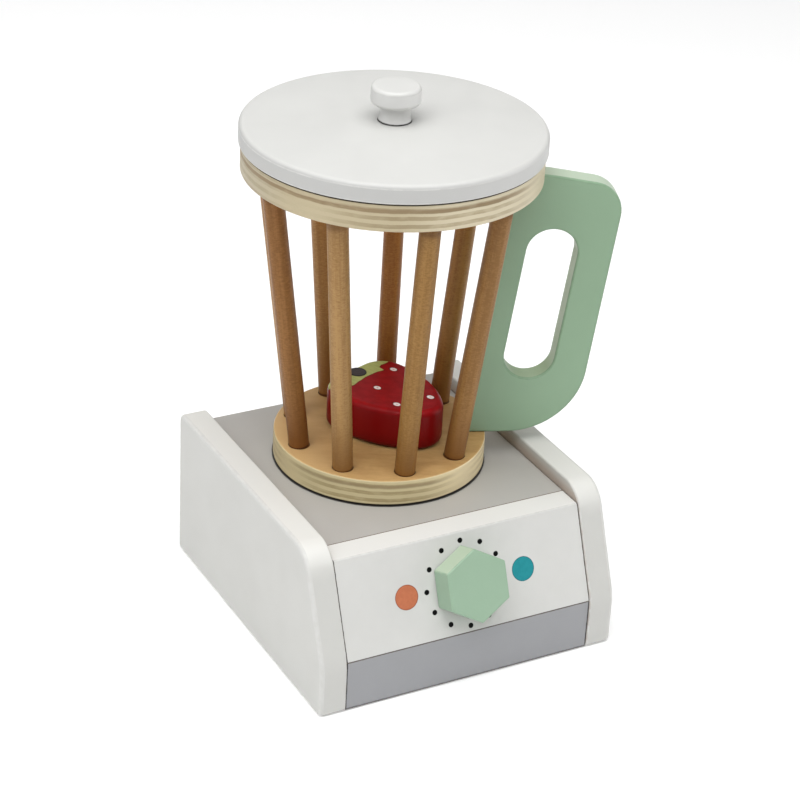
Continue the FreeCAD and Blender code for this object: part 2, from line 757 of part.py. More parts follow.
def lid_disc(place):
    """The lid's turned disc, its slightly domed top and its round edge."""
    body = new_body("lid_disc", place["lid"])
    sketch = new_sketch(body, "lid_profile", "XZ_Plane")
    reach, crown = "lid_diameter / 2", "lid_rim + lid_dome"
    sphere = f"((({reach}) ^ 2 + lid_dome ^ 2) / (2 * lid_dome))"
    drop = value(f"{crown} - {sphere}")
    half = math.asin(value(reach) / value(sphere))
    dome = Part.Circle(Vector(0, drop, 0), Z, value(sphere))
    quarter = math.pi / 2
    corners = [(0, value(crown)), (0, 0), (value(reach), 0), (value(reach), value("lid_rim"))]
    ends = [Vector(x, y, 0) for x, y in corners]
    lines = [sketch.addGeometry(Part.LineSegment(a, b), False) for a, b in zip(ends, ends[1:])]
    arc = sketch.addGeometry(Part.ArcOfCircle(dome, quarter - half, quarter), False)
    chain = lines + [arc]
    for piece, following in zip(chain, chain[1:] + chain[:1]):
        sketch.addConstraint(Sketcher.Constraint("Coincident", piece, 2, following, 1))
    sketch.addConstraint(Sketcher.Constraint("PointOnObject", arc, 3, -2))
    tie_point(sketch, lines[0], 1, "0", crown)
    tie_point(sketch, lines[1], 1, "0", "0")
    tie_point(sketch, lines[2], 1, reach, "0")
    tie_point(sketch, arc, 1, reach, "lid_rim")
    revolve(body, sketch)
    dress(body, "Fillet", "lid_round", circle_of(reach, "lid_rim"), 1)
    dress(body, "Fillet", "ply_round", circle_of(reach, "0"), 1)
    bore = new_sketch(body, "lid_bore")
    draw_circle(bore, "0", "0", "lid_screw_diameter / 2 + glue_gap")
    pocket(body, bore, crown, forward=True)


def lid_fittings(place):
    """The plug that centres the lid, its turned knob and the screw through all three."""
    below = Placement(Vector(0, 0, value("-plug_height")), Rotation())
    plug = new_body("lid_plug", place["lid"] * below)
    outline = new_sketch(plug, "plug_circle")
    draw_circle(outline, "0", "0", "plug_diameter / 2")
    pad(plug, outline, "plug_height")
    dress(plug, "Chamfer", "plug_bevel", circle_of("plug_diameter / 2", "0"), 1)
    cone = "((lid_screw_head - lid_screw_diameter) / 2)"
    sink = new_sketch(plug, "plug_sink", "XZ_Plane")
    bore = "lid_screw_diameter / 2 + glue_gap"
    section = [
        ("0", "0"),
        ("lid_screw_head / 2 + glue_gap", "0"),
        (bore, cone),
        (bore, "plug_height"),
        ("0", "plug_height"),
    ]
    draw_polygon(sink, section)
    before = plug.Shape.Volume
    groove = plug.newObject("PartDesign::Groove", "plug_sink_turned")
    groove.Profile = sink
    groove.ReferenceAxis = (sink, ["V_Axis"])
    groove.Angle = 360
    doc.recompute()
    if plug.Shape.Volume > before - 1e-3:
        raise RuntimeError("the plug's screw hole cut nothing")

    crown = Placement(Vector(0, 0, value("lid_rim + lid_dome")), Rotation())
    knob = new_body("lid_knob", place["lid"] * crown)
    profile = new_sketch(knob, "lid_knob_profile", "XZ_Plane")
    neck = "lid_knob_neck_height"
    half_outline = [
        ("0", "0"),
        ("lid_knob_foot / 2", "0"),
        ("lid_knob_waist / 2", neck),
        ("lid_knob_cap / 2", neck),
        ("lid_knob_cap / 2", "lid_knob_height"),
        ("0", "lid_knob_height"),
    ]
    draw_polygon(profile, half_outline)
    revolve(knob, profile)
    for height in (neck, "lid_knob_height"):
        dress(knob, "Fillet", "lid_knob_round", circle_of("lid_knob_cap / 2", height), 1)
    pilot = new_sketch(knob, "lid_knob_pilot")
    draw_circle(pilot, "0", "0", bore)
    pocket(knob, pilot, "lid_screw_bite + pin_end_gap", forward=True)

    screw = new_body("lid_screw", place["lid"] * below)
    shape = new_sketch(screw, "lid_screw_profile", "XZ_Plane")
    length = "(plug_height + lid_rim + lid_dome + lid_screw_bite)"
    half_screw = [
        ("0", "0"),
        ("lid_screw_head / 2", "0"),
        ("lid_screw_diameter / 2", cone),
        ("lid_screw_diameter / 2", length),
        ("0", length),
    ]
    draw_polygon(shape, half_screw)
    revolve(screw, shape)


def draw_berry(sketch):
    """The strawberry's outline: a flat top, two shoulders, two full sides and a tip.

    X runs from the calyx end to the tip, from the middle of the length.  Each arc
    touches its neighbours, so only the radii and the arcs' centres are given.
    """
    half = value("berry_length / 2")
    shoulder, side, tip = (value(f"berry_{n}_radius") for n in ("shoulder", "side", "tip"))
    spread = value("berry_half_width - berry_shoulder_radius")
    upper = Vector(shoulder - half, spread, 0)
    point = Vector(half - tip, 0, 0)
    # The side's centre is where circles about the other two centres cross.
    link = point - upper
    near_by, far_by = side - shoulder, side - tip
    step = (link.Length**2 + near_by**2 - far_by**2) / (2 * link.Length)
    rise = math.sqrt(near_by**2 - step**2)
    unit = link / link.Length
    flank = upper + unit * step + Vector(unit.y, -unit.x, 0) * rise

    def bearing(centre, to):
        return math.atan2((to - centre).y, (to - centre).x)

    first, last = bearing(flank, upper), bearing(flank, point)
    quarter = math.pi / 2

    def arc(centre, radius, start, end):
        return sketch.addGeometry(
            Part.ArcOfCircle(Part.Circle(centre, Z, radius), start, end), False
        )

    def below(centre):
        return Vector(centre.x, -centre.y, 0)

    tip_arc = arc(point, tip, -last, last)
    upper_side = arc(flank, side, last, first)
    upper_shoulder = arc(upper, shoulder, first, 2 * quarter)
    left, right = Vector(-half, spread, 0), Vector(-half, -spread, 0)
    top = sketch.addGeometry(Part.LineSegment(left, right), False)
    lower_shoulder = arc(below(upper), shoulder, 2 * quarter, 4 * quarter - first)
    lower_side = arc(below(flank), side, 4 * quarter - first, 4 * quarter - last)
    chain = (tip_arc, upper_side, upper_shoulder, top, lower_shoulder, lower_side)
    for piece, following in zip(chain, chain[1:] + chain[:1]):
        sketch.addConstraint(Sketcher.Constraint("Tangent", piece, 2, following, 1))
    sketch.addConstraint(Sketcher.Constraint("Equal", upper_side, lower_side))
    tie(sketch, "Radius", tip_arc, to="berry_tip_radius")
    tie(sketch, "Radius", upper_side, to="berry_side_radius")
    tie_point(sketch, tip_arc, 3, "(berry_length / 2 - berry_tip_radius)", "0")
    corner_x = "(berry_shoulder_radius - berry_length / 2)"
    spread_by = "(berry_half_width - berry_shoulder_radius)"
    tie_point(sketch, upper_shoulder, 3, corner_x, spread_by)
    tie_point(sketch, lower_shoulder, 3, corner_x, f"(-{spread_by})")
    sketch.addConstraint(Sketcher.Constraint("Vertical", top))
    tie(sketch, "Radius", upper_shoulder, to="berry_shoulder_radius")


def strawberry(place):
    """The wooden strawberry that lies in the jug, with its inlaid stem."""
    lift = value("berry_gap")
    middle = Vector(value("berry_shift_x"), value("jug_setback + berry_shift_y"), 0)
    height = Vector(0, 0, place["cage"].Base.z + lift)
    spot = Placement(middle + height, Rotation(Z, value("berry_turn")))
    body = new_body("strawberry_block", spot)
    outline = new_sketch(body, "berry_outline")
    draw_berry(outline)
    pad(body, outline, "berry_thickness")
    dress(body, "Fillet", "berry_round", rim(Z, "berry_thickness"))
    dress(body, "Fillet", "berry_round / 2", rim(Z, "0"))
    stem_x = "(stem_inset - berry_length / 2)"
    socket = new_sketch(body, "stem_socket", offset="berry_thickness")
    draw_circle(socket, stem_x, "0", "stem_diameter / 2 + glue_gap")
    pocket(body, socket, "stem_depth")

    stem = new_body("strawberry_stem", spot)
    plug = new_sketch(stem, "stem_circle", offset="berry_thickness - stem_depth")
    draw_circle(plug, stem_x, "0", "stem_diameter / 2")
    pad(stem, plug, "stem_depth + stem_rise")
    top = circle_of("stem_diameter / 2", "berry_thickness + stem_rise")
    dress(stem, "Fillet", "stem_rise", top, 1)


def check_and_export():
    """Stops on any failed object or shape, then writes each sub-part to its own file."""
    for item in doc.Objects:
        if "Invalid" in item.State or "Error" in item.State:
            raise RuntimeError(f"{item.Name} failed: {item.State}")
    for body in nodes:
        if body.Shape.isNull() or not body.Shape.isValid() or not body.Shape.Solids:
            raise RuntimeError(f"{body.Label} has no valid solid")
    os.makedirs("parts", exist_ok=True)
    for body in nodes:
        body.Shape.exportStep(os.path.join("parts", f"{body.Label}.step"))
        print(f"{body.Label}: {len(body.Shape.Solids)} solid(s), {body.Shape.Volume:.0f} mm3")


fill_sheet()
shared = frames()
side_panel("left_side_panel", -1)
side_panel("right_side_panel", 1)
base_boards()
front_panel(shared)
floor_panel()
glue_blocks()
floor_screws()
panel_pins()
speed_knob(shared)
jug_boards(shared)
jug_dowels(shared)
jug_handle(shared)
lid_disc(shared)
lid_fittings(shared)
strawberry(shared)
check_and_export()
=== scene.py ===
"""A wooden toy blender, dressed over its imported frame.

A box of painted boards carries a speed knob on its sloped front. The jug is a plywood disc
and a plywood ring joined by leaning beech dowels and a flat handle. A turned lid closes it
and a wooden strawberry lies inside.

Every piece is modelled in millimetres in a frame of its own. It keeps those coordinates in
an attribute that its finish reads, and is then laid in place with its object at the origin.
"""

import logging
import math
from dataclasses import dataclass
from enum import Enum
from functools import cached_property
from typing import Any, Callable, Optional, Sequence, Union

import bmesh
import bpy
from mathutils import Matrix, Vector

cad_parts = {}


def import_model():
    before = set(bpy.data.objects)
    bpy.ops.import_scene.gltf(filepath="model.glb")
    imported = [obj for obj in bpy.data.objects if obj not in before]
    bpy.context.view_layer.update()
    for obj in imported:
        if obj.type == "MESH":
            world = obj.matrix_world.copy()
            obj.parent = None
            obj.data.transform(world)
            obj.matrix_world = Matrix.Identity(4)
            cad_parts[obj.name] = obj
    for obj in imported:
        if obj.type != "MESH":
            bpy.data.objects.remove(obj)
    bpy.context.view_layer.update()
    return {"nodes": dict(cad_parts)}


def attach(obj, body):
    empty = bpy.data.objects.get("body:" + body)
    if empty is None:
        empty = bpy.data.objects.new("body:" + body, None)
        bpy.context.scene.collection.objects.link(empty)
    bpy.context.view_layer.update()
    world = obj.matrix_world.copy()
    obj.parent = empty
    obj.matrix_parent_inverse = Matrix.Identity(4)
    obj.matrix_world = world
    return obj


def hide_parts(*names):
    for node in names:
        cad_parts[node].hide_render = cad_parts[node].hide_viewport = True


MM = 0.001
LOG = logging.getLogger("toy_blender")

Span = tuple[float, float]
Spot = tuple[float, float, float]
Colour = tuple[float, float, float, float]
Socket = bpy.types.NodeSocket
Tint = Union[Colour, Socket]
Value = Union["Number", float]
Test = Callable[[Any], bool]


def srgb(red: int, green: int, blue: int) -> Colour:
    """The linear colour of an eight-bit screen colour.

    Args:
        red: The red channel, from 0 to 255.
        green: The green channel.
        blue: The blue channel.

    Returns:
        The colour, opaque.
    """
    parts = [channel / 255 for channel in (red, green, blue)]
    linear = [p / 12.92 if p <= 0.04045 else ((p + 0.055) / 1.055) ** 2.4 for p in parts]
    return (*linear, 1.0)


def toned(colour: Colour, *factors: float) -> Colour:
    """The colour with its channels scaled, by one factor or by three."""
    scales = factors if len(factors) == 3 else factors * 3
    return (*(part * scale for part, scale in zip(colour, scales)), 1.0)


def shifted(place: Matrix, x: float = 0, y: float = 0, z: float = 0) -> Matrix:
    """The frame moved by millimetres along its own axes."""
    return place @ Matrix.Translation(Vector((x, y, z)) * MM)


def turned(degrees: float, axis: str) -> Matrix:
    """A turn about one axis."""
    return Matrix.Rotation(math.radians(degrees), 4, axis)


@dataclass(frozen=True)
class Layout:
    """The sizes that the pieces and their finishes share, and the frames of the pieces.

    Sizes are in millimetres and frames in metres.

    Attributes:
        width: The base's width.
        depth: The base's depth, from front to back.
        knee: The height at which the upright front ends and the slope begins.
        slope: How far the sloped front leans back, in degrees.
        recess: How far the front boards stand behind the sides' front edges.
        deck_height: The height of the deck's top.
        board: The thickness of the boards and of the plywood.
        clearance: The gap between a loose piece and what carries it.
        dial_drop: How far down the slope the knob's axis lies.
        knob_height: How far the knob's face stands off the slope.
        jug_setback: How far behind the base's middle the jug's axis lies.
        jug_turn: How far the jug is turned about its axis, in degrees.
        cage_height: The clear height between the jug's disc and its ring.
        grip_foot: The middle of the handle's grip at its foot, as its reach and height.
        grip_head: The same at its head.
        berry_depth: The strawberry's thickness.
        stem_reach: The radius of the strawberry's stem.
    """

    width: float = 142.0
    depth: float = 148.0
    knee: float = 24.0
    slope: float = 22.0
    recess: float = 0.8
    deck_height: float = 64.3
    board: float = 12.0
    clearance: float = 0.3
    dial_drop: float = 21.8
    knob_height: float = 12.5
    jug_setback: float = 16.5
    jug_turn: float = -21.2
    cage_height: float = 123.4
    grip_foot: Span = (63.7, 38.0)
    grip_head: Span = (69.8, 86.7)
    berry_depth: float = 19.0
    stem_reach: float = 4.0

    @property
    def inside(self) -> float:
        """Half the distance between the two side boards."""
        return self.width / 2 - self.board

    @property
    def lean(self) -> tuple[float, float]:
        """The cosine and the sine of the front's slope."""
        return math.cos(math.radians(self.slope)), math.sin(math.radians(self.slope))

    @property
    def front_foot(self) -> float:
        """The Y of the slope's lower edge, and of the board below it."""
        return self.recess - self.depth / 2

    @property
    def front_top(self) -> float:
        """The Y of the slope's upper edge."""
        cosine, sine = self.lean
        return self.front_foot + (self.deck_height - self.knee) * sine / cosine

    def face(self) -> Matrix:
        """The sloped front: X across, Y up the slope, Z outward, from its top edge."""
        edge = shifted(Matrix(), y=self.front_top, z=self.deck_height)
        return edge @ turned(90 - self.slope, "X")

    def dial(self) -> Matrix:
        """The knob's axis on the sloped front."""
        return shifted(self.face(), y=-self.dial_drop)

    def jug(self) -> Matrix:
        """The underside of the jug's disc, turned so that the handle lies along X."""
        foot = shifted(Matrix(), y=self.jug_setback, z=self.deck_height + self.clearance)
        return foot @ turned(self.jug_turn, "Z")

    def cage(self) -> Matrix:
        """The top of the jug's disc."""
        return shifted(self.jug(), z=self.board)

    def ring(self) -> Matrix:
        """The underside of the jug's ring."""
        return shifted(self.cage(), z=self.cage_height)

    def lid(self) -> Matrix:
        """The underside of the lid."""
        return shifted(self.ring(), z=self.board + self.clearance)


LAYOUT = Layout()


# ---------------------------------------------------------------------------- shader maths


class Number:
    """A shader value that Python arithmetic extends with Math nodes."""

    def __init__(self, shader: "Shader", socket: Socket) -> None:
        """Wraps a socket of the shader's node tree."""
        self.shader = shader
        self.socket = socket

    def _math(self, operation: str, *values: Value) -> "Number":
        """The result of one Math node."""
        node = self.shader.node("Math", {"operation": operation}, dict(enumerate(values)))
        return Number(self.shader, node.outputs[0])

    def __add__(self, other: Value) -> "Number":
        """This value plus another."""
        return self._math("ADD", self, other)

    def __sub__(self, other: Value) -> "Number":
        """This value less another."""
        return self._math("SUBTRACT", self, other)

    def __rsub__(self, other: Value) -> "Number":
        """Another value less this one."""
        return self._math("SUBTRACT", other, self)

    def __mul__(self, other: Value) -> "Number":
        """This value times another."""
        return self._math("MULTIPLY", self, other)

    def __truediv__(self, other: Value) -> "Number":
        """This value over another."""
        return self._math("DIVIDE", self, other)

    def __rtruediv__(self, other: Value) -> "Number":
        """Another value over this one."""
        return self._math("DIVIDE", other, self)

    __radd__ = __add__
    __rmul__ = __mul__

    def size(self) -> "Number":
        """The value without its sign."""
        return self._math("ABSOLUTE", self)

    def floor(self) -> "Number":
        """The whole number at or below the value."""
        return self._math("FLOOR", self)

    def round(self) -> "Number":
        """The nearest whole number."""
        return self._math("ROUND", self)

    def root(self) -> "Number":
        """The square root."""
        return self._math("SQRT", self)

    def sine(self) -> "Number":
        """The sine of an angle in radians."""
        return self._math("SINE", self)

    def cosine(self) -> "Number":
        """The cosine of an angle in radians."""
        return self._math("COSINE", self)

    def bearing(self, across: "Number") -> "Number":
        """The angle of the point (across, this value)."""
        return self._math("ARCTAN2", self, across)

    def reach(self, across: "Number") -> "Number":
        """How far the point (across, this value) lies from zero."""
        return (self * self + across * across).root()

    def most(self, other: Value) -> "Number":
        """The larger of two values."""
        return self._math("MAXIMUM", self, other)

    def fade(self, start: float, end: float, low: float = 0.0, high: float = 1.0) -> "Number":
        """A soft step between two values.

        Args:
            start: Where the step begins, which may be above its end.
            end: Where the step ends.
            low: The result at the start and before it.
            high: The result at the end and past it.

        Returns:
            The stepped value.
        """
        if start > end:
            start, end, low, high = end, start, high, low
        settings = {"interpolation_type": "SMOOTHSTEP"}
        values = dict(enumerate((self, start, end, low, high)))
        return Number(self.shader, self.shader.node("MapRange", settings, values).outputs[0])


class Blend(Enum):
    """The ways in which one colour is laid over another."""

    COVER = "MIX"
    MULTIPLY = "MULTIPLY"


class Shader:
    """One material's node tree, built from Python expressions."""

    def __init__(
        self, name: str, roughness: float = 0.5, sheen: float = 0.5, metal: float = 0.0
    ) -> None:
        """Makes a material with a plain surface.

        Args:
            name: The material's name.
            roughness: How dull the surface is, unless gloss is called.
            sheen: The surface's specular level.
            metal: One for metal, and zero for anything else.
        """
        self.material = bpy.data.materials.new(name)
        self.material.use_nodes = True
        self.tree = self.material.node_tree
        self.tree.nodes.clear()
        constants = {"Roughness": roughness, "Specular IOR Level": sheen, "Metallic": metal}
        self.surface = self.node("BsdfPrincipled", inputs=constants)
        self.node("OutputMaterial", inputs={"Surface": self.surface.outputs[0]})

    def node(
        self,
        kind: str,
        settings: Optional[dict[str, Any]] = None,
        inputs: Optional[dict[Union[str, int], Any]] = None,
    ) -> bpy.types.Node:
        """Adds a node.

        Args:
            kind: The node's type, without its ShaderNode prefix.
            settings: The node's properties, which are set first.
            inputs: A value or a link for each socket, by name or number.

        Returns:
            The new node.
        """
        made = self.tree.nodes.new(f"ShaderNode{kind}")
        for name, choice in (settings or {}).items():
            setattr(made, name, choice)
        for key, value in (inputs or {}).items():
            self.feed(made.inputs[key], value)
        return made

    def feed(self, socket: Socket, value: Any) -> None:
        """Links a value to a socket, or sets the socket to it.

        Args:
            socket: The socket.
            value: A shader value, another node's socket or a constant.
        """
        if isinstance(value, Number):
            value = value.socket
        if isinstance(value, bpy.types.NodeSocket):
            self.tree.links.new(value, socket)
        else:
            socket.default_value = value

    def attribute(self, name: str) -> bpy.types.Node:
        """The node that reads a mesh attribute."""
        return self.node("Attribute", {"attribute_type": "GEOMETRY", "attribute_name": name})

    @cached_property
    def own(self) -> Socket:
        """The piece's own coordinates in millimetres."""
        return self.attribute("own").outputs["Vector"]

    @cached_property
    def row(self) -> Socket:
        """The row frame's coordinates in millimetres."""
        inputs = {0: self.node("TexCoord").outputs["Object"], "Scale": 1 / MM}
        return self.node("VectorMath", {"operation": "SCALE"}, inputs).outputs[0]

    def edge(self) -> Number:
        """One on the narrow faces of eased edges, and zero elsewhere."""
        return Number(self, self.attribute("eased").outputs["Fac"])

    def flatness(self) -> Number:
        """One where a face lies flat, and zero where it stands upright."""
        return self.split(self.node("NewGeometry").outputs["Normal"])[2].size()

    def split(self, vector: Socket) -> tuple[Number, Number, Number]:
        """The three coordinates of a vector."""
        node = self.node("SeparateXYZ", inputs={0: vector})
        return tuple(Number(self, socket) for socket in node.outputs)

    def turn(self, vector: Socket, degrees: float) -> Socket:
        """The vector turned about Z."""
        inputs = {0: vector, "Angle": math.radians(degrees)}
        return self.node("VectorRotate", {"rotation_type": "Z_AXIS"}, inputs).outputs[0]

    def stretch(self, vector: Socket, scale: Spot) -> Socket:
        """The vector with each coordinate scaled."""
        return self.node("VectorMath", {"operation": "MULTIPLY"}, {0: vector, 1: scale}).outputs[0]

    def noise(self, place: Socket, scale: float, detail: float = 2, rough: float = 0.5) -> Number:
        """Cloudy noise between 0 and 1, with features about 1/scale across."""
        inputs = {"Vector": place, "Scale": scale, "Detail": detail, "Roughness": rough}
        return Number(self, self.node("TexNoise", inputs=inputs).outputs[0])

    def grain(self, place: Socket, scale: Spot, detail: float = 3, rough: float = 0.5) -> Number:
        """Noise with a scale of its own along each axis, as along fibres."""
        return self.noise(self.stretch(place, scale), 1.0, detail, rough)

    def flecks(self, place: Socket, scale: Spot, start: float, end: float) -> Number:
        """Scattered flecks.

        Args:
            place: The coordinates.
            scale: How close they lie along each axis.
            start: How far from a fleck's middle it begins to show.
            end: How far from its middle it shows in full.

        Returns:
            One in a fleck, and zero elsewhere.
        """
        inputs = {"Vector": self.stretch(place, scale), "Scale": 1.0}
        node = self.node("TexVoronoi", inputs=inputs)
        return Number(self, node.outputs["Distance"]).fade(start, end)

    def tint(self, share: Value, first: Tint, second: Tint, blend: Blend = Blend.COVER) -> Socket:
        """Lays a share of one colour over another.

        Args:
            share: How much of the second colour is laid on, from 0 to 1.
            first: The colour underneath.
            second: The colour laid over it.
            blend: How it is laid on.

        Returns:
            The mixed colour.
        """
        factor, under, over, result = 0, 6, 7, 2
        settings = {"data_type": "RGBA", "blend_type": blend.value}
        node = self.node("Mix", settings, {factor: share, under: first, over: second})
        return node.outputs[result]

    def colour(self, value: Tint) -> None:
        """Gives the surface its colour."""
        self.feed(self.surface.inputs["Base Color"], value)

    def gloss(self, roughness: Value) -> None:
        """Gives the surface its roughness."""
        self.feed(self.surface.inputs["Roughness"], roughness)

    def relief(self, height: Number, depth: float) -> None:
        """Raises the surface by the height, from 0 to 1, times a depth in millimetres."""
        bump = self.node("Bump", inputs={"Strength": 1.0, "Distance": depth * MM, "Height": height})
        self.feed(self.surface.inputs["Normal"], bump.outputs[0])


# -------------------------------------------------------------------------------- finishes


class Slot(Enum):
    """The record's material slots."""

    WHITE = "white_paint"
    GREY = "grey_paint"
    MINT = "mint_paint"
    PLY = "plywood"
    BEECH = "beech"
    BARE = "bare_wood"
    STEEL = "steel"
    BERRY = "strawberry_paint"
    STEM = "stem_paint"


class Axis(Enum):
    """A piece's own axes."""

    X = 0
    Y = 1
    Z = 2


@dataclass(frozen=True)
class Finish:
    """What every finish has: its name, its slot and its material."""

    name: str
    slot: Slot

    def material(self) -> bpy.types.Material:
        """The finish's material, made when it is first asked for."""
        found = bpy.data.materials.get(self.name)
        return found if found else self.make()

    def make(self) -> bpy.types.Material:
        """Builds the material."""
        raise NotImplementedError


@dataclass(frozen=True)
class Seam:
    """A dark line where a piece meets its neighbour, or the bare wall of a hole.

    Attributes:
        axis: The piece's own axis that the line lies across.
        start: Where the line begins to show along that axis.
        end: Where it shows in full.
        colour: Its colour.
        both: Whether it also lies on the other side of zero.
    """

    axis: Axis
    start: float
    end: float
    colour: Colour
    both: bool = False

    def lay(self, shader: Shader, colour: Tint) -> Socket:
        """Lays the line over a colour.

        Args:
            shader: The material's node tree.
            colour: The colour under the line.

        Returns:
            The colour with the line on it.
        """
        value = shader.split(shader.own)[self.axis.value]
        if self.both:
            value = value.size()
        wander = (shader.noise(shader.own, 0.45, 3) - 0.5) * abs(self.end - self.start)
        return shader.tint((value + wander).fade(self.start, self.end), colour, self.colour)


@dataclass(frozen=True)
class Paint(Finish):
    """Sprayed paint on a sanded board with a faint orange peel; its eased edges carry paint wear
    and painted light and shade.

    Attributes:
        body: The paint's colour.
        edge_wear_and_shading: Its colour on the eased edges, where the paint is thinner, with
            painted light and shade.
        roughness: How dull the dry paint is.
        fibre: How strongly the board's fibres show through, along its own X axis.
        sheen: The paint's specular level.
        seams: The dark lines where the piece meets its neighbours.
    """

    body: Colour = srgb(204, 204, 201)
    # Lighter than the body: a painted highlight on the eased edges.
    edge_wear_and_shading: Colour = srgb(216, 216, 212)
    roughness: float = 0.42
    fibre: float = 0.3
    sheen: float = 0.5
    seams: tuple[Seam, ...] = ()

    def coat(self, shader: Shader) -> Socket:
        """The paint's colour before marks are laid on it."""
        clouds = shader.noise(shader.own, 0.022, 3) * 0.7 + shader.noise(shader.own, 0.16) * 0.3
        return shader.tint(clouds.fade(0.3, 0.7), toned(self.body, 0.96), self.body)

    def marks(self, shader: Shader, colour: Tint) -> Tint:
        """The colour with the board's own painted marks, of which there are none here."""
        return colour

    def make(self) -> bpy.types.Material:
        """Builds the material.

        Returns:
            The material.
        """
        shader = Shader(self.name, self.roughness, self.sheen)
        own = shader.own
        # The eased edges take their own colour: thinner paint, with painted light and shade,
        # lighter than the body on some finishes and darker on others.
        mask = shader.noise(own, 0.35, 3).fade(0.35, 0.65, 0.45, 1.0)
        colour = shader.tint(shader.edge() * mask, self.coat(shader), self.edge_wear_and_shading)
        colour = self.marks(shader, colour)
        for seam in self.seams:
            colour = seam.lay(shader, colour)
        shader.colour(colour)
        peel, fibres = shader.noise(own, 0.7, 2, 0.45), shader.grain(own, (0.05, 1.4, 1.4))
        shader.relief(peel * 0.6 + fibres * self.fibre, 0.05)
        dull = shader.noise(own, 0.08, 3).fade(0.3, 0.7, -0.05, 0.05)
        shader.gloss(dull + self.roughness)
        return shader.material


@dataclass(frozen=True)
class SidePaint(Paint):
    """The side boards' paint, with a painted highlight on the top edges and painted shade on the
    inner face over the deck.

    Attributes:
        top: The colour of the top edge, lighter than the body as a painted highlight.
        inner: The colour of the inner face over the deck, darker and browner as painted shade.
        height: Where the top edge's colour begins and where it shows in full.
        rise: Where the inner face's colour begins, below the top, and where it is full.
        faces: How far the board's two faces lie from the toy's middle.
    """

    top: Colour = srgb(216, 216, 212)
    inner: Colour = srgb(175, 163, 153)
    height: Span = (57.0, 70.4)
    rise: Span = (70.4, 65.5)
    faces: Span = (LAYOUT.inside, LAYOUT.width / 2)

    def coat(self, shader: Shader) -> Socket:
        """The paint's colour before marks are laid on it.

        Args:
            shader: The material's node tree.

        Returns:
            The colour.
        """
        x, _, height = shader.split(shader.own)
        (low, high), far = self.faces, x.size()
        # Painted highlight: the top edge is painted lighter than the faces.
        strip = far.fade(low + 0.1, low + 0.5) * far.fade(high - 0.1, high - 0.5)
        strip = strip * height.fade(*self.height)
        colour = shader.tint(strip, super().coat(shader), self.top)
        # Painted shade: the inner face is painted darker down towards the deck.
        near = far.fade(low + 0.8, low + 0.2) * height.fade(*self.rise)
        return shader.tint(near, colour, self.inner)


@dataclass(frozen=True)
class DeckPaint(Paint):
    """The deck's paint, with a dark ring painted round the jug's foot as a painted contact shadow.

    Attributes:
        contact_shade_ring: The ring's inner and outer radius.
        stain: The ring's colour, near black, a painted shadow.
    """

    contact_shade_ring: Span = (45.6, 47.2)
    stain: Colour = srgb(24, 20, 16)

    def marks(self, shader: Shader, colour: Tint) -> Tint:
        """Lays the painted shadow ring over the paint.

        Args:
            shader: The material's node tree.
            colour: The paint's colour.

        Returns:
            The colour with the ring on it.
        """
        x, y, _ = shader.split(shader.own)
        wander = (shader.noise(shader.own, 0.3) - 0.5) * 0.3
        reach = (y - LAYOUT.jug_setback).reach(x) + wander
        inner, outer = self.contact_shade_ring
        # Painted shadow: a dark ring where the jug's foot stands.
        ring = reach.fade(inner - 0.4, inner) * reach.fade(outer + 0.25, outer - 0.15)
        return shader.tint(ring * 0.9, colour, self.stain)


@dataclass(frozen=True)
class TurnedPaintWithShading(Paint):
    """Paint on a turned piece, with painted light and shade on its upright side.

    Attributes:
        side: The colour of the side: painted shade on the lid, painted light on its knob.
        far: Its colour on the side's right, lighter as painted light.
        rim: Where the side ends and where the top begins, in height.
        reach: The side's radius.
    """

    side: Colour = srgb(182, 182, 180)
    far: Colour = srgb(196, 196, 194)
    rim: Span = (6.9, 8.2)
    reach: float = 60.0

    def coat(self, shader: Shader) -> Socket:
        """The paint's colour before marks are laid on it.

        Args:
            shader: The material's node tree.

        Returns:
            The colour.
        """
        x, _, height = shader.split(shader.own)
        # Painted light and shade: the side differs from the top and grows lighter towards the
        # right.
        side = shader.tint(x.fade(-0.4 * self.reach, self.reach), self.side, self.far)
        return shader.tint(height.fade(*self.rim), side, super().coat(shader))


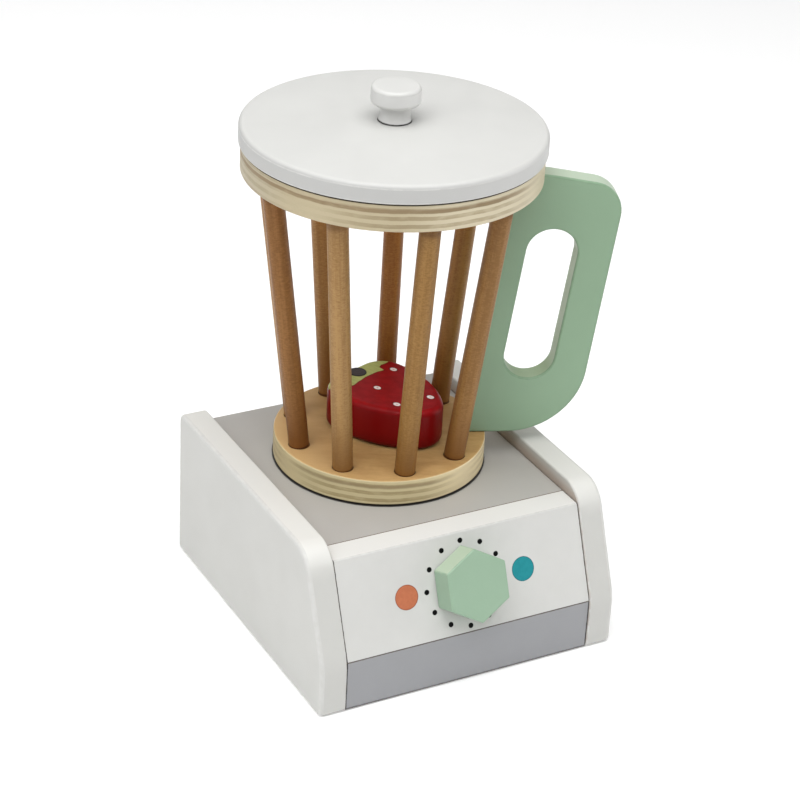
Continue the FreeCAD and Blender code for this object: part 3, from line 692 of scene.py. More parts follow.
@dataclass(frozen=True)
class HandlePaint(Paint):
    """The handle's paint, with a painted highlight on its outer edge, yellower inside the grip, and
    a painted contact shadow along its foot.

    Attributes:
        band: The colour of the outer edge, paler as a painted highlight.
        inner: The colour inside the grip.
        contact: The colour of the painted contact shadow along the foot, where it stands on the
            disc.
        half: Half the board's thickness, less its eased edge.
        wall: Half the width that belongs to the grip.
        disc: Where the disc ends under the foot, and where it is surely under it.
        rise: The heights over which the broad faces darken.
    """

    band: Colour = srgb(182, 197, 177)
    inner: Colour = srgb(162, 182, 152)
    contact: Colour = srgb(30, 28, 12)
    half: float = 4.2
    wall: float = 13.0
    disc: Span = (47.2, 46.4)
    rise: Span = (30.0, 115.0)

    def coat(self, shader: Shader) -> Socket:
        """The paint's colour before marks are laid on it.

        Args:
            shader: The material's node tree.

        Returns:
            The colour.
        """
        x, y, z = shader.split(shader.own)
        (low_x, low_z), (high_x, high_z) = LAYOUT.grip_foot, LAYOUT.grip_head
        middle = (z - low_z) * ((high_x - low_x) / (high_z - low_z)) + low_x
        near = (x - middle).size().fade(self.wall + 1, self.wall)
        near = near * z.fade(low_z - self.wall - 1, low_z - self.wall)
        near = near * z.fade(high_z + self.wall + 1, high_z + self.wall)
        # Painted highlight: the outer edge is painted paler than the faces.
        edge = shader.tint(near, self.band, self.inner)
        broad = shader.tint(z.fade(*self.rise), super().coat(shader), toned(self.body, 0.9))
        rim = y.size().fade(self.half + 0.3, self.half - 0.2)
        # Painted contact shadow: a dark line along the foot where it stands on the disc.
        line = x.fade(*self.disc) * z.fade(0.9, 0.5)
        return shader.tint(line, shader.tint(rim, broad, edge), self.contact)


@dataclass(frozen=True)
class KnobPaint(Paint):
    """The knob's paint, with one of its six sides painted paler as a painted reflection.

    Attributes:
        pale: The colour of the paler side, a painted reflection of the bright surroundings.
        bearing: The way that the paler side faces, in degrees.
        flat: How far that side lies from the knob's axis.
    """

    pale: Colour = srgb(176, 194, 170)
    bearing: float = 120.0
    flat: float = 13.94

    def coat(self, shader: Shader) -> Socket:
        """The paint's colour before marks are laid on it.

        Args:
            shader: The material's node tree.

        Returns:
            The colour.
        """
        x, y, z = shader.split(shader.own)
        turn, face = math.radians(self.bearing), LAYOUT.knob_height
        out = x * math.cos(turn) + y * math.sin(turn)
        # Painted reflection: one side face is painted paler, and the patch turns with the knob.
        mask = out.fade(self.flat - 0.6, self.flat - 0.1) * z.fade(face - 0.2, face - 0.6)
        return shader.tint(mask, super().coat(shader), self.pale)


@dataclass(frozen=True)
class ColourSpot:
    """A round patch of colour beside the dial.

    Attributes:
        across: How far it lies to the right of the dial's middle.
        body: Its colour.
        rim: The darker colour round its edge.
    """

    across: float
    body: Colour
    rim: Colour


@dataclass(frozen=True)
class DialPaint(Paint):
    """The front board's paint with its ring of dots and its two colour spots.

    Attributes:
        height: The dial's centre, measured up the board from its top edge.
        shift: How far the dial lies to the right of the board's middle.
        ring: The radius of the ring of dots.
        dots: How many dots there are.
        dot: A dot's radius.
        ink: A dot's colour.
        spot: A colour spot's radius.
        spots: The colour spots.
        top: The colour of the board's top edge, lighter than the face as a painted highlight.
    """

    height: float = -22.3
    shift: float = 0.2
    ring: float = 18.54
    dots: int = 12
    dot: float = 1.17
    ink: Colour = srgb(4, 4, 4)
    spot: float = 5.4
    spots: tuple[ColourSpot, ...] = (
        ColourSpot(-28.1, srgb(191, 115, 82), srgb(132, 66, 46)),
        ColourSpot(28.2, srgb(40, 140, 148), srgb(16, 92, 104)),
    )
    top: Colour = srgb(216, 216, 213)

    def coat(self, shader: Shader) -> Socket:
        """The paint's colour before marks are laid on it."""
        up = shader.split(shader.own)[1]
        # Painted highlight: the top edge is painted lighter than the face.
        return shader.tint(up.fade(-0.5, 0.1), super().coat(shader), self.top)

    def off_dots(self, x: Number, up: Number) -> Number:
        """How far a point lies from the nearest dot.

        Args:
            x: The point's place to the right of the dial's middle.
            up: Its place above the dial's middle.

        Returns:
            The distance.
        """
        # Each point is turned into the sector of its nearest dot, which lies at bearing zero.
        step = 2 * math.pi / self.dots
        turn = up.bearing(x) / step
        off = (turn - turn.round()) * step
        reach = up.reach(x)
        return (reach * off.sine()).reach(reach * off.cosine() - self.ring)

    def marks(self, shader: Shader, colour: Tint) -> Tint:
        """Lays the dots and the two spots over the paint.

        Args:
            shader: The material's node tree.
            colour: The paint's colour.

        Returns:
            The colour with the dots and the spots on it.
        """
        x, y, z = shader.split(shader.own)
        x, up = x - self.shift, y - self.height
        front = z.fade(-0.4, -0.2)
        wander = (shader.noise(shader.own, 1.2) - 0.5) * 0.16
        mottle = shader.noise(shader.own, 0.5, 3).fade(0.3, 0.7, 0.0, 0.15)
        far = self.off_dots(x, up) + wander
        colour = shader.tint(far.fade(self.dot + 0.1, self.dot - 0.1) * front, colour, self.ink)
        for spot in self.spots:
            far = up.reach(x - spot.across) + wander
            filled = far.fade(self.spot + 0.12, self.spot - 0.12) * front
            rimmed = far.fade(self.spot - 0.5, self.spot - 0.15, 0.0, 0.8)
            paint = shader.tint(rimmed, shader.tint(mottle, spot.body, spot.rim), spot.rim)
            colour = shader.tint(filled, colour, paint)
        return colour


@dataclass(frozen=True)
class Plywood(Finish):
    """Birch plywood, with its plies on the edge and a fine veneer on the faces.

    Attributes:
        lay: The bearing of the face ply's fibres, in degrees.
        under: How dark the second ply from the top is.
        band: Where that ply begins to darken, is dark, starts to fade and is pale again, in
            millimetres to the right.
        walls: Where the walls of the dowels' seats lie: the least and the greatest distance
            from the middle, and the height past which a face is on the outside.
        foot: The height of the dark line of painted shade round the foot of the edge on the disc,
            and round its head on the ring.
        left: The colour of a ply that is cut along its fibres, on the left of the board; on the
            disc it is lighter as painted light.
        side: The same ply's colour in front.
        right: The same ply's colour on the right, towards the handle, lighter as painted light.
        reaches: Where the left colour ends, and where the right one begins and is full.
        plies: How many plies the board has.
        second: How many plies lie above the middle of the dark second ply.
        across: What a ply's colour is multiplied by where it is cut across its fibres.
        face: The face veneer's colour.
        streak: The darker streaks of the face veneer.
        dash: The colour of its short dark fibres.
        painted_light: The face's colour in a painted pool of light towards the left.
        painted_light_reach: Where that painted light begins, and where it is full, towards the
            left.
        glued: The colour of the dark second ply.
        gap: The colour of the painted shade inside the seats and along the contact line.
    """

    lay: float
    under: float
    band: tuple[float, float, float, float]
    walls: Spot
    foot: Span
    left: Colour
    side: Colour
    right: Colour
    reaches: Spot
    plies: int = 7
    second: float = 1.78
    across: Colour = (0.64, 0.59, 0.51, 1.0)
    face: Colour = srgb(198, 162, 107)
    streak: Colour = srgb(180, 143, 91)
    dash: Colour = srgb(150, 108, 66)
    painted_light: Colour = srgb(204, 169, 117)
    painted_light_reach: Span = (-12.0, -44.0)
    glued: Colour = srgb(140, 120, 88)
    gap: Colour = srgb(52, 40, 26)

    def lengthwise(self, shader: Shader) -> Socket:
        """The colour of a ply that is cut along its fibres, from left to right, with painted light
        towards the right, and on the disc also towards the left.

        Args:
            shader: The material's node tree.

        Returns:
            The colour.
        """
        x = shader.split(shader.own)[0]
        left, begin, full = self.reaches
        # Painted light: the edge's colour is set lighter where light falls on it.
        colour = shader.tint(x.fade(left, left * 1.3), self.side, self.left)
        return shader.tint(x.fade(begin, full), colour, self.right)

    def crosscut(self, level: Number, bearing: Number) -> Number:
        """How far a ply is cut across its fibres.

        Args:
            level: How many plies lie below.
            bearing: The bearing from the face ply's fibres.

        Returns:
            A share from 0 to 1, which changes over from each ply to the next.
        """
        odd = (level * math.pi).sine().fade(0.25, -0.25)
        across = bearing.sine().size().fade(0.66, 0.97, 0.12, 0.95)
        along = bearing.cosine().size().fade(0.75, 1.0, 0.0, 0.6)
        return odd * across + (1 - odd) * along

    def dark_ply(self, shader: Shader, level: Number) -> Number:
        """Where the dark second ply shows.

        Args:
            shader: The material's node tree.
            level: How many plies lie below.

        Returns:
            One where it is darkest, and zero elsewhere.
        """
        x, ply = shader.split(shader.own)[0], LAYOUT.board / self.plies
        start, dark, fading, pale = self.band
        off = (level * ply - (LAYOUT.board - self.second * ply)).size()
        return off.fade(1.05, 0.6) * x.fade(start, dark) * x.fade(pale, fading)

    def edge(self, shader: Shader, fibres: Socket) -> Socket:
        """The colour of the board's edge, ply by ply.

        Args:
            shader: The material's node tree.
            fibres: The piece's own coordinates, turned to the face ply's fibres.

        Returns:
            The colour.
        """
        x, y, z = shader.split(fibres)
        sway = (shader.grain(fibres, (0.05, 0.05, 0.01), 2) - 0.5) * 1.1
        ripple = (shader.grain(fibres, (0.3, 0.3, 0.09), 2) - 0.5) * 0.35
        level = (z + sway + ripple) / (LAYOUT.board / self.plies)
        mask = shader.grain(fibres, (0.14, 0.14, 0.42))
        share = self.crosscut(level, y.bearing(x)) * mask.fade(0.25, 0.6, 0.55, 1.0)
        fleck = (shader.grain(fibres, (1.3, 1.3, 5.0), 3, 0.65) - 0.5) * 0.35
        side = self.lengthwise(shader)
        end = shader.tint(1.0, side, self.across, Blend.MULTIPLY)
        colour = shader.tint(share + fleck, side, end)
        second = mask.fade(0.2, 0.5, self.under * 0.6, self.under)
        colour = shader.tint(self.dark_ply(shader, level) * second, colour, self.glued)
        pores = shader.flecks(fibres, (0.5, 0.5, 2.6), 0.14, 0.05)
        return shader.tint(pores * 0.3, colour, self.glued)

    def painted_shade_mask(self, shader: Shader) -> Number:
        """Where the painted shade lies: on the walls of the dowels' seats and along the contact
        line.

        Args:
            shader: The material's node tree.

        Returns:
            One in a seat or on the line, and zero elsewhere.
        """
        x, y, z = shader.split(shader.own)
        reach = y.reach(x)
        inner, outer, height = self.walls
        # The disc's seats open upward, past their height, and the ring's open downward.
        past, far = (1, 0.0) if height > LAYOUT.board / 2 else (-1, LAYOUT.board)
        seat = reach.fade(inner, inner + 0.2) * reach.fade(outer, outer - 0.2)
        seat = seat * z.fade(height + 0.05 * past, height - 0.05 * past)
        seat = seat * z.fade(far + 0.3 * past, far + 0.5 * past)
        return seat.most(z.fade(*self.foot) * reach.fade(outer, outer + 0.2))

    def make(self) -> bpy.types.Material:
        """Builds the material.

        Returns:
            The material.
        """
        shader = Shader(self.name)
        fibres = shader.turn(shader.own, -self.lay)
        clouds = shader.grain(fibres, (0.05, 0.16, 0.3), 4, 0.6)
        fine = shader.grain(fibres, (0.3, 2.6, 1.0), 3, 0.6)
        grain = (clouds * 0.7 + fine * 0.3).fade(0.36, 0.66)
        dashes = shader.flecks(fibres, (0.25, 1.6, 1.0), 0.14, 0.06)
        flat = shader.tint(grain, self.face, self.streak)
        flat = shader.tint(dashes * 0.16, flat, self.dash)
        # Painted light: the face is painted paler towards the left.
        painted_light_share = shader.split(shader.own)[0].fade(*self.painted_light_reach)
        flat = shader.tint(painted_light_share, flat, self.painted_light)
        rim = self.edge(shader, fibres)
        colour = shader.tint(shader.flatness().fade(0.6, 0.85), rim, flat)
        # Painted shade: the seats' walls and the contact line are painted dark.
        shader.colour(shader.tint(self.painted_shade_mask(shader), colour, self.gap))
        shader.relief(fine * 0.5 + grain * 0.3, 0.05)
        shader.gloss(grain.fade(0, 1, 0.44, 0.54))
        return shader.material


@dataclass(frozen=True)
class Beech(Finish):
    """Turned beech with its fibres along the piece, its short dark rays and a soft tone.

    Attributes:
        tone: The colour between the light and the dark bands.
        pace: How far apart the dowels' patterns lie along the fibres; each dowel's height
            above the disc starts again from zero at every pace.
        drift: How far apart they lie across the fibres.
        foot_darkening: The heights over which the darker tone towards the foot fades.
        head: The heights over which the dowel darkens under the ring, as painted shadow of the
            ring.
    """

    tone: Colour
    pace: float = 170.0
    drift: Span = (23.0, 41.0)
    foot_darkening: Span = (34.0, 2.0)
    head: Span = (118.5, 121.5)

    def shift(self, number: int) -> Spot:
        """How far the pattern of one dowel is moved, so that no two look alike."""
        return (self.drift[0] * number, self.drift[1] * number, self.pace * number)

    def make(self) -> bpy.types.Material:
        """Builds the material.

        Returns:
            The material.
        """
        shader = Shader(self.name, 0.4, 0.25)
        own = shader.own
        tone = shader.grain(own, (0.02, 0.02, 0.012), 1)
        bands = shader.grain(own, (0.42, 0.42, 0.012), 3, 0.55)
        fine = shader.grain(own, (3.2, 3.2, 0.12), 3, 0.6)
        fleck = shader.grain(own, (0.6, 0.6, 1.9), 3, 0.7)
        share = (bands * 0.3 + fine * 0.16 + tone * 0.16 + fleck * 0.38).fade(0.42, 0.58)
        rays = shader.flecks(own, (1.7, 1.7, 0.4), 0.22, 0.08)
        light, dark = toned(self.tone, 1.16, 1.19, 1.24), toned(self.tone, 0.83, 0.79, 0.74)
        colour = shader.tint(share, light, dark)
        colour = shader.tint(rays * 0.4, colour, toned(self.tone, 0.5, 0.45, 0.4))
        paces = shader.split(own)[2] / self.pace
        height = (paces - paces.floor()) * self.pace
        low = height.fade(*self.foot_darkening, 0.0, 0.8)
        colour = shader.tint(low, colour, toned(self.tone, 0.7, 0.58, 0.46))
        # Painted shade: the dowel is painted dark just above the disc and under the ring.
        ends = height.fade(1.3, 0.4).most(height.fade(*self.head, 0.0, 0.5))
        shader.colour(shader.tint(ends, colour, toned(self.tone, 0.28, 0.18, 0.1)))
        shader.relief(fine * 0.7 - rays * 0.5, 0.05)
        shader.gloss(share.fade(0, 1, 0.36, 0.46))
        return shader.material


@dataclass(frozen=True)
class BareTimber(Finish):
    """Unpainted softwood or beech inside the toy, sawn and lightly sanded.

    Attributes:
        light: The early wood's colour.
        dark: The late wood's colour.
    """

    light: Colour = srgb(219, 189, 148)
    dark: Colour = srgb(186, 146, 101)

    def make(self) -> bpy.types.Material:
        """Builds the material.

        Returns:
            The material.
        """
        shader = Shader(self.name, 0.62)
        bands = shader.grain(shader.row, (0.02, 0.22, 0.22), 4, 0.6)
        fine = shader.grain(shader.row, (0.15, 3.0, 3.0))
        share = (bands * 0.7 + fine * 0.3).fade(0.4, 0.62)
        shader.colour(shader.tint(share, self.light, self.dark))
        shader.relief(fine, 0.08)
        shader.gloss(share.fade(0, 1, 0.56, 0.68))
        return shader.material


@dataclass(frozen=True)
class BerryPaint(Finish):
    """Glossy red paint with the seeds and the pale calyx painted on the block's top, and painted
    shade on its sides.

    The block's own X runs from the calyx end to the tip, from the middle of its length.

    Attributes:
        body: The red paint.
        flank: The same paint on the sides, darker as painted shade.
        leaf: The calyx's colour.
        vein: The colour of its veins.
        outline: The dark line round it.
        foot: The colour of the painted contact shadow along the block's foot.
        seed: Half a seed's width.
        slant: How much longer a seed is than wide.
        husk: The colour round a seed.
        kernel: The colour of a seed.
        heart: The colour of a seed's middle.
        seeds: The middle of each seed, as (x, y).
        teeth: The calyx's edge, as (y, x) from one side of the block to the other.
    """

    body: Colour = srgb(158, 20, 26)
    flank: Colour = srgb(124, 8, 10)
    leaf: Colour = srgb(190, 198, 124)
    vein: Colour = srgb(158, 168, 96)
    outline: Colour = srgb(84, 16, 16)
    foot: Colour = srgb(30, 8, 8)
    seed: float = 1.5
    slant: float = 1.25
    husk: Colour = srgb(70, 4, 8)
    kernel: Colour = srgb(255, 246, 246)
    heart: Colour = srgb(214, 150, 152)
    seeds: tuple[Span, ...] = ((-12.0, 13.8), (-5.1, -4.3), (11.0, -9.3), (16.6, 6.4), (3.5, 12.6))
    teeth: tuple[Span, ...] = (
        (21.4, -21.5),
        (16.4, -18.4),
        (12.9, -18.7),
        (10.8, -17.9),
        (10.2, -14.6),
        (5.4, -15.5),
        (-0.1, -15.6),
        (-5.0, -14.9),
        (-10.1, -13.9),
        (-14.8, -17.6),
        (-21.4, -21.0),
    )

    def paint(self, shader: Shader, mottle: Number) -> Socket:
        """The red paint's colour, with painted shade on the sides that deepens towards the foot.

        Args:
            shader: The material's node tree.
            mottle: Where the paint is darker.

        Returns:
            The colour.
        """
        z, top = shader.split(shader.own)[2], LAYOUT.berry_depth
        colour = shader.tint(mottle, toned(self.body, 1.08), toned(self.body, 0.86))
        # Painted shade: the sides are painted darker, and darker still towards the foot.
        colour = shader.tint(z.fade(top, top - 2.6), colour, self.flank)
        return shader.tint(z.fade(8.0, 0.0), colour, toned(self.flank, 0.75))

    def calyx(self, shader: Shader, colour: Tint, ragged: Number, upper: Number) -> Socket:
        """Lays the calyx over the paint.

        Args:
            shader: The material's node tree.
            colour: The paint's colour.
            ragged: How far its edge wanders.
            upper: One on the top face, and zero elsewhere.

        Returns:
            The colour with the calyx on it.
        """
        x, y, _ = shader.split(shader.own)
        edge: Value = self.teeth[0][1]
        for (before, low), (after, high) in zip(self.teeth, self.teeth[1:]):
            edge = y.fade(before, after) * (high - low) + edge
        inside = x + ragged - edge
        colour = shader.tint(inside.fade(0.8, 0.3) * upper * 0.7, colour, self.outline)
        veins = shader.grain(shader.own, (0.12, 0.7, 0.1), 2).fade(0.4, 0.62)
        green = shader.tint(veins * 0.4, self.leaf, self.vein)
        return shader.tint(inside.fade(0.25, -0.25) * upper, colour, green)

    def make(self) -> bpy.types.Material:
        """Builds the material.

        Returns:
            The material.
        """
        shader = Shader(self.name, 0.3, 0.12)
        own, top = shader.own, LAYOUT.berry_depth
        x, y, z = shader.split(own)
        upper = z.fade(top - 2.2, top - 0.9)
        mottle = shader.noise(own, 0.25, 3).fade(0.3, 0.7)
        ragged = (shader.noise(own, 0.9) - 0.5) * 0.4
        colour = self.calyx(shader, self.paint(shader, mottle), ragged, upper)
        for along, across in self.seeds:
            reach = (y - across).reach((x - along) / self.slant) + ragged * 0.3
            husk = reach.fade(self.seed + 0.45, self.seed + 0.1) * 0.75
            kernel, heart = reach.fade(self.seed, self.seed - 0.25), reach.fade(0.6, 0.2) * 0.6
            colour = shader.tint(husk * upper, colour, self.husk)
            colour = shader.tint(kernel * upper, colour, self.kernel)
            colour = shader.tint(heart * upper, colour, self.heart)
        # Painted contact shadow along the foot.
        shader.colour(shader.tint(z.fade(0.7, 0.3), colour, self.foot))
        fibres = shader.grain(own, (0.08, 1.3, 0.4))
        shader.relief(fibres * 0.6 + shader.noise(own, 0.8) * 0.4, 0.05)
        shader.gloss(mottle.fade(0, 1, 0.3, 0.38))
        return shader.material


@dataclass(frozen=True)
class StemStain(Finish):
    """Dark stain on the end grain of the short dowel that stands for the stem.

    Attributes:
        dark: The stain's colour.
        light: Its colour on the harder rings.
        rim: Its colour round the edge.
    """

    dark: Colour = srgb(56, 50, 54)
    light: Colour = srgb(76, 70, 70)
    rim: Colour = srgb(30, 34, 28)

    def make(self) -> bpy.types.Material:
        """Builds the material.

        Returns:
            The material.
        """
        shader = Shader(self.name, 0.55)
        x, y, _ = shader.split(shader.own)
        far, edge = y.reach(x), LAYOUT.stem_reach
        rings = (far * 3.1 + shader.noise(shader.own, 0.6, 3) * 3).sine().fade(-1, 1, 0.0, 0.5)
        colour = shader.tint(rings, self.dark, self.light)
        shader.colour(shader.tint(far.fade(edge - 0.9, edge - 0.3, 0.0, 0.6), colour, self.rim))
        shader.relief(rings, 0.08)
        shader.gloss(rings.fade(0, 0.5, 0.5, 0.62))
        return shader.material


@dataclass(frozen=True)
class Steel(Finish):
    """Zinc-plated steel, slightly brushed and stained.

    Attributes:
        plating: The colour of the clean plating.
        stain: Its colour where it is stained.
    """

    plating: Colour = srgb(196, 198, 200)
    stain: Colour = srgb(164, 160, 150)

    def make(self) -> bpy.types.Material:
        """Builds the material.

        Returns:
            The material.
        """
        shader = Shader(self.name, 0.35, metal=1.0)
        brushed = shader.grain(shader.row, (0.6, 0.6, 6.0))
        stained = shader.noise(shader.row, 0.4, 3).fade(0.35, 0.65)
        shader.colour(shader.tint(stained * 0.5, self.plating, self.stain))
        shader.relief(brushed, 0.02)
        shader.gloss(brushed.fade(0.3, 0.7, 0.28, 0.45))
        return shader.material


INSIDE, KNEE = LAYOUT.inside, LAYOUT.knee
WHITE = Paint("white_board_paint", Slot.WHITE)
SIDE_WHITE = SidePaint(
    "side_board_paint", Slot.WHITE, srgb(196, 196, 192), edge_wear_and_shading=srgb(203, 203, 200)
)
DIAL = DialPaint(
    "dial_board_paint",
    Slot.WHITE,
    body=srgb(205, 205, 202),
    edge_wear_and_shading=srgb(200, 200, 197),
    sheen=0.12,
    seams=(Seam(Axis.X, INSIDE - 0.6, INSIDE - 0.25, srgb(46, 38, 32), both=True),),
)
# The lid's side is painted darker than its top as painted shade, and lighter towards the right as
# painted light.
LID_WHITE = TurnedPaintWithShading(
    "lid_paint", Slot.WHITE, srgb(200, 200, 197), edge_wear_and_shading=srgb(200, 200, 197), fibre=0.12
)
# The knob's side is painted lighter than its top, most of all towards the right, as painted light.
CAP_WHITE = TurnedPaintWithShading(
    "lid_knob_paint",
    Slot.WHITE,
    edge_wear_and_shading=srgb(204, 204, 201),
    fibre=0.1,
    seams=(Seam(Axis.Z, 0.7, 0.4, srgb(40, 38, 36)),),
    side=srgb(208, 208, 206),
    far=srgb(224, 224, 222),
    rim=(13.6, 14.8),
    reach=10.0,
)
DECK_GREY = DeckPaint(
    "deck_paint",
    Slot.GREY,
    body=srgb(176, 174, 170),
    edge_wear_and_shading=srgb(168, 165, 160),
    fibre=0.5,
    seams=(
        Seam(Axis.X, INSIDE - 0.7, INSIDE - 0.2, srgb(78, 64, 50), both=True),
        Seam(Axis.Y, -44.4, -44.8, srgb(104, 90, 74)),
    ),
)
# The kick's grey is cooler than the deck's, and painted darker as painted shade.
KICK_GREY = Paint(
    "kick_paint",
    Slot.GREY,
    body=srgb(150, 151, 154),
    edge_wear_and_shading=srgb(140, 141, 144),
    fibre=0.4,
    seams=(
        Seam(Axis.X, INSIDE - 0.8, INSIDE - 0.4, srgb(26, 23, 20), both=True),
        Seam(Axis.Z, KNEE - 0.55, KNEE - 0.2, srgb(96, 88, 80)),
        Seam(Axis.Z, 1.5, 1.0, srgb(92, 90, 88)),
    ),
)
# The handle's mint is the knob's paint, painted a little darker as painted shade.
HANDLE_MINT = HandlePaint(
    "mint_handle_paint",
    Slot.MINT,
    body=srgb(143, 172, 143),
    edge_wear_and_shading=srgb(128, 156, 128),
    sheen=0.35,
)
KNOB_MINT = KnobPaint(
    "mint_knob_paint",
    Slot.MINT,
    body=srgb(149, 176, 152),
    edge_wear_and_shading=srgb(144, 171, 147),
    sheen=0.35,
)
DISC_PLY = Plywood(
    "foot_plywood",
    Slot.PLY,
    lay=-8.0,
    under=0.55,
    band=(-46.0, -34.0, 14.0, 34.0),
    walls=(30.0, 45.6, 11.85),
    foot=(0.95, 0.6),
    left=srgb(216, 200, 156),
    side=srgb(205, 191, 149),
    right=srgb(240, 223, 182),
    reaches=(-33.0, 6.0, 40.0),
)
RING_PLY = Plywood(
    "ring_plywood",
    Slot.PLY,
    lay=12.0,
    under=1.0,
    band=(-90.0, -80.0, 36.0, 60.0),
    walls=(48.2, 62.6, 0.15),
    foot=(11.45, 11.65),
    left=srgb(182, 171, 144),
    side=srgb(184, 171, 140),
    right=srgb(208, 197, 169),
    reaches=(-45.0, -8.0, 22.0),
)
DOWELS = {
    number: Beech(f"beech_dowel_{number}", Slot.BEECH, srgb(*tone))
    for number, tone in {
        1: (153, 109, 55),
        2: (160, 107, 48),
        3: (164, 121, 67),
        4: (158, 117, 68),
        5: (136, 93, 46),
        6: (157, 121, 73),
        7: (146, 108, 56),
        8: (144, 105, 57),
    }.items()
}
BARE = BareTimber("bare_timber", Slot.BARE)
PIN = BareTimber("pin_beech", Slot.BEECH, srgb(212, 176, 134), srgb(182, 140, 98))
STEEL = Steel("plated_steel", Slot.STEEL)
BERRY = BerryPaint("strawberry_gloss", Slot.BERRY)
STEM = StemStain("stem_end", Slot.STEM)


# --------------------------------------------------------------------------------- modelling


class Kind(Enum):
    """The kinds of element that edit mode selects."""

    CORNER = "VERT"
    EDGE = "EDGE"
    FACE = "FACE"


class Body(Enum):
    """The bodies that move by themselves."""

    BASE = "base"
    KNOB = "knob"
    JUG = "jug"
    LID = "lid"
    BERRY = "strawberry"


def points_of(element: Any) -> list[Vector]:
    """The corners of an element, or the corner itself, in millimetres."""
    return [corner.co / MM for corner in getattr(element, "verts", [element])]


def at(**place: float) -> Test:
    """A test for what lies wholly at the given coordinates."""
    axes = {"xyz".index(axis): value for axis, value in place.items()}
    return lambda e: all(abs(p[i] - v) < 0.01 for p in points_of(e) for i, v in axes.items())


def either(*tests: Test) -> Test:
    """A test for what passes at least one of the tests."""
    return lambda e: any(test(e) for test in tests)


def sharp(test: Test) -> Test:
    """A test for the edges that pass another test and turn by more than 20 degrees."""
    return lambda e: test(e) and e.calc_face_angle(0.0) > math.radians(20)


def rising(length: float) -> Test:
    """A test for the edges that rise by more than a length."""
    return lambda e: abs(e.verts[0].co.z - e.verts[1].co.z) > length * MM


def anything(_: Any) -> bool:
    """A test that everything passes."""
    return True


def tangent(radius: float, inside: float) -> float:
    """How far from a corner of this inside angle, in degrees, a round of this radius starts."""
    return radius / math.tan(math.radians(inside) / 2)


def let_go() -> None:
    """Closes the piece that is open in edit mode, if there is one, and selects nothing."""
    if bpy.context.mode != "OBJECT":
        bpy.ops.object.mode_set(mode="OBJECT")
    bpy.ops.object.select_all(action="DESELECT")


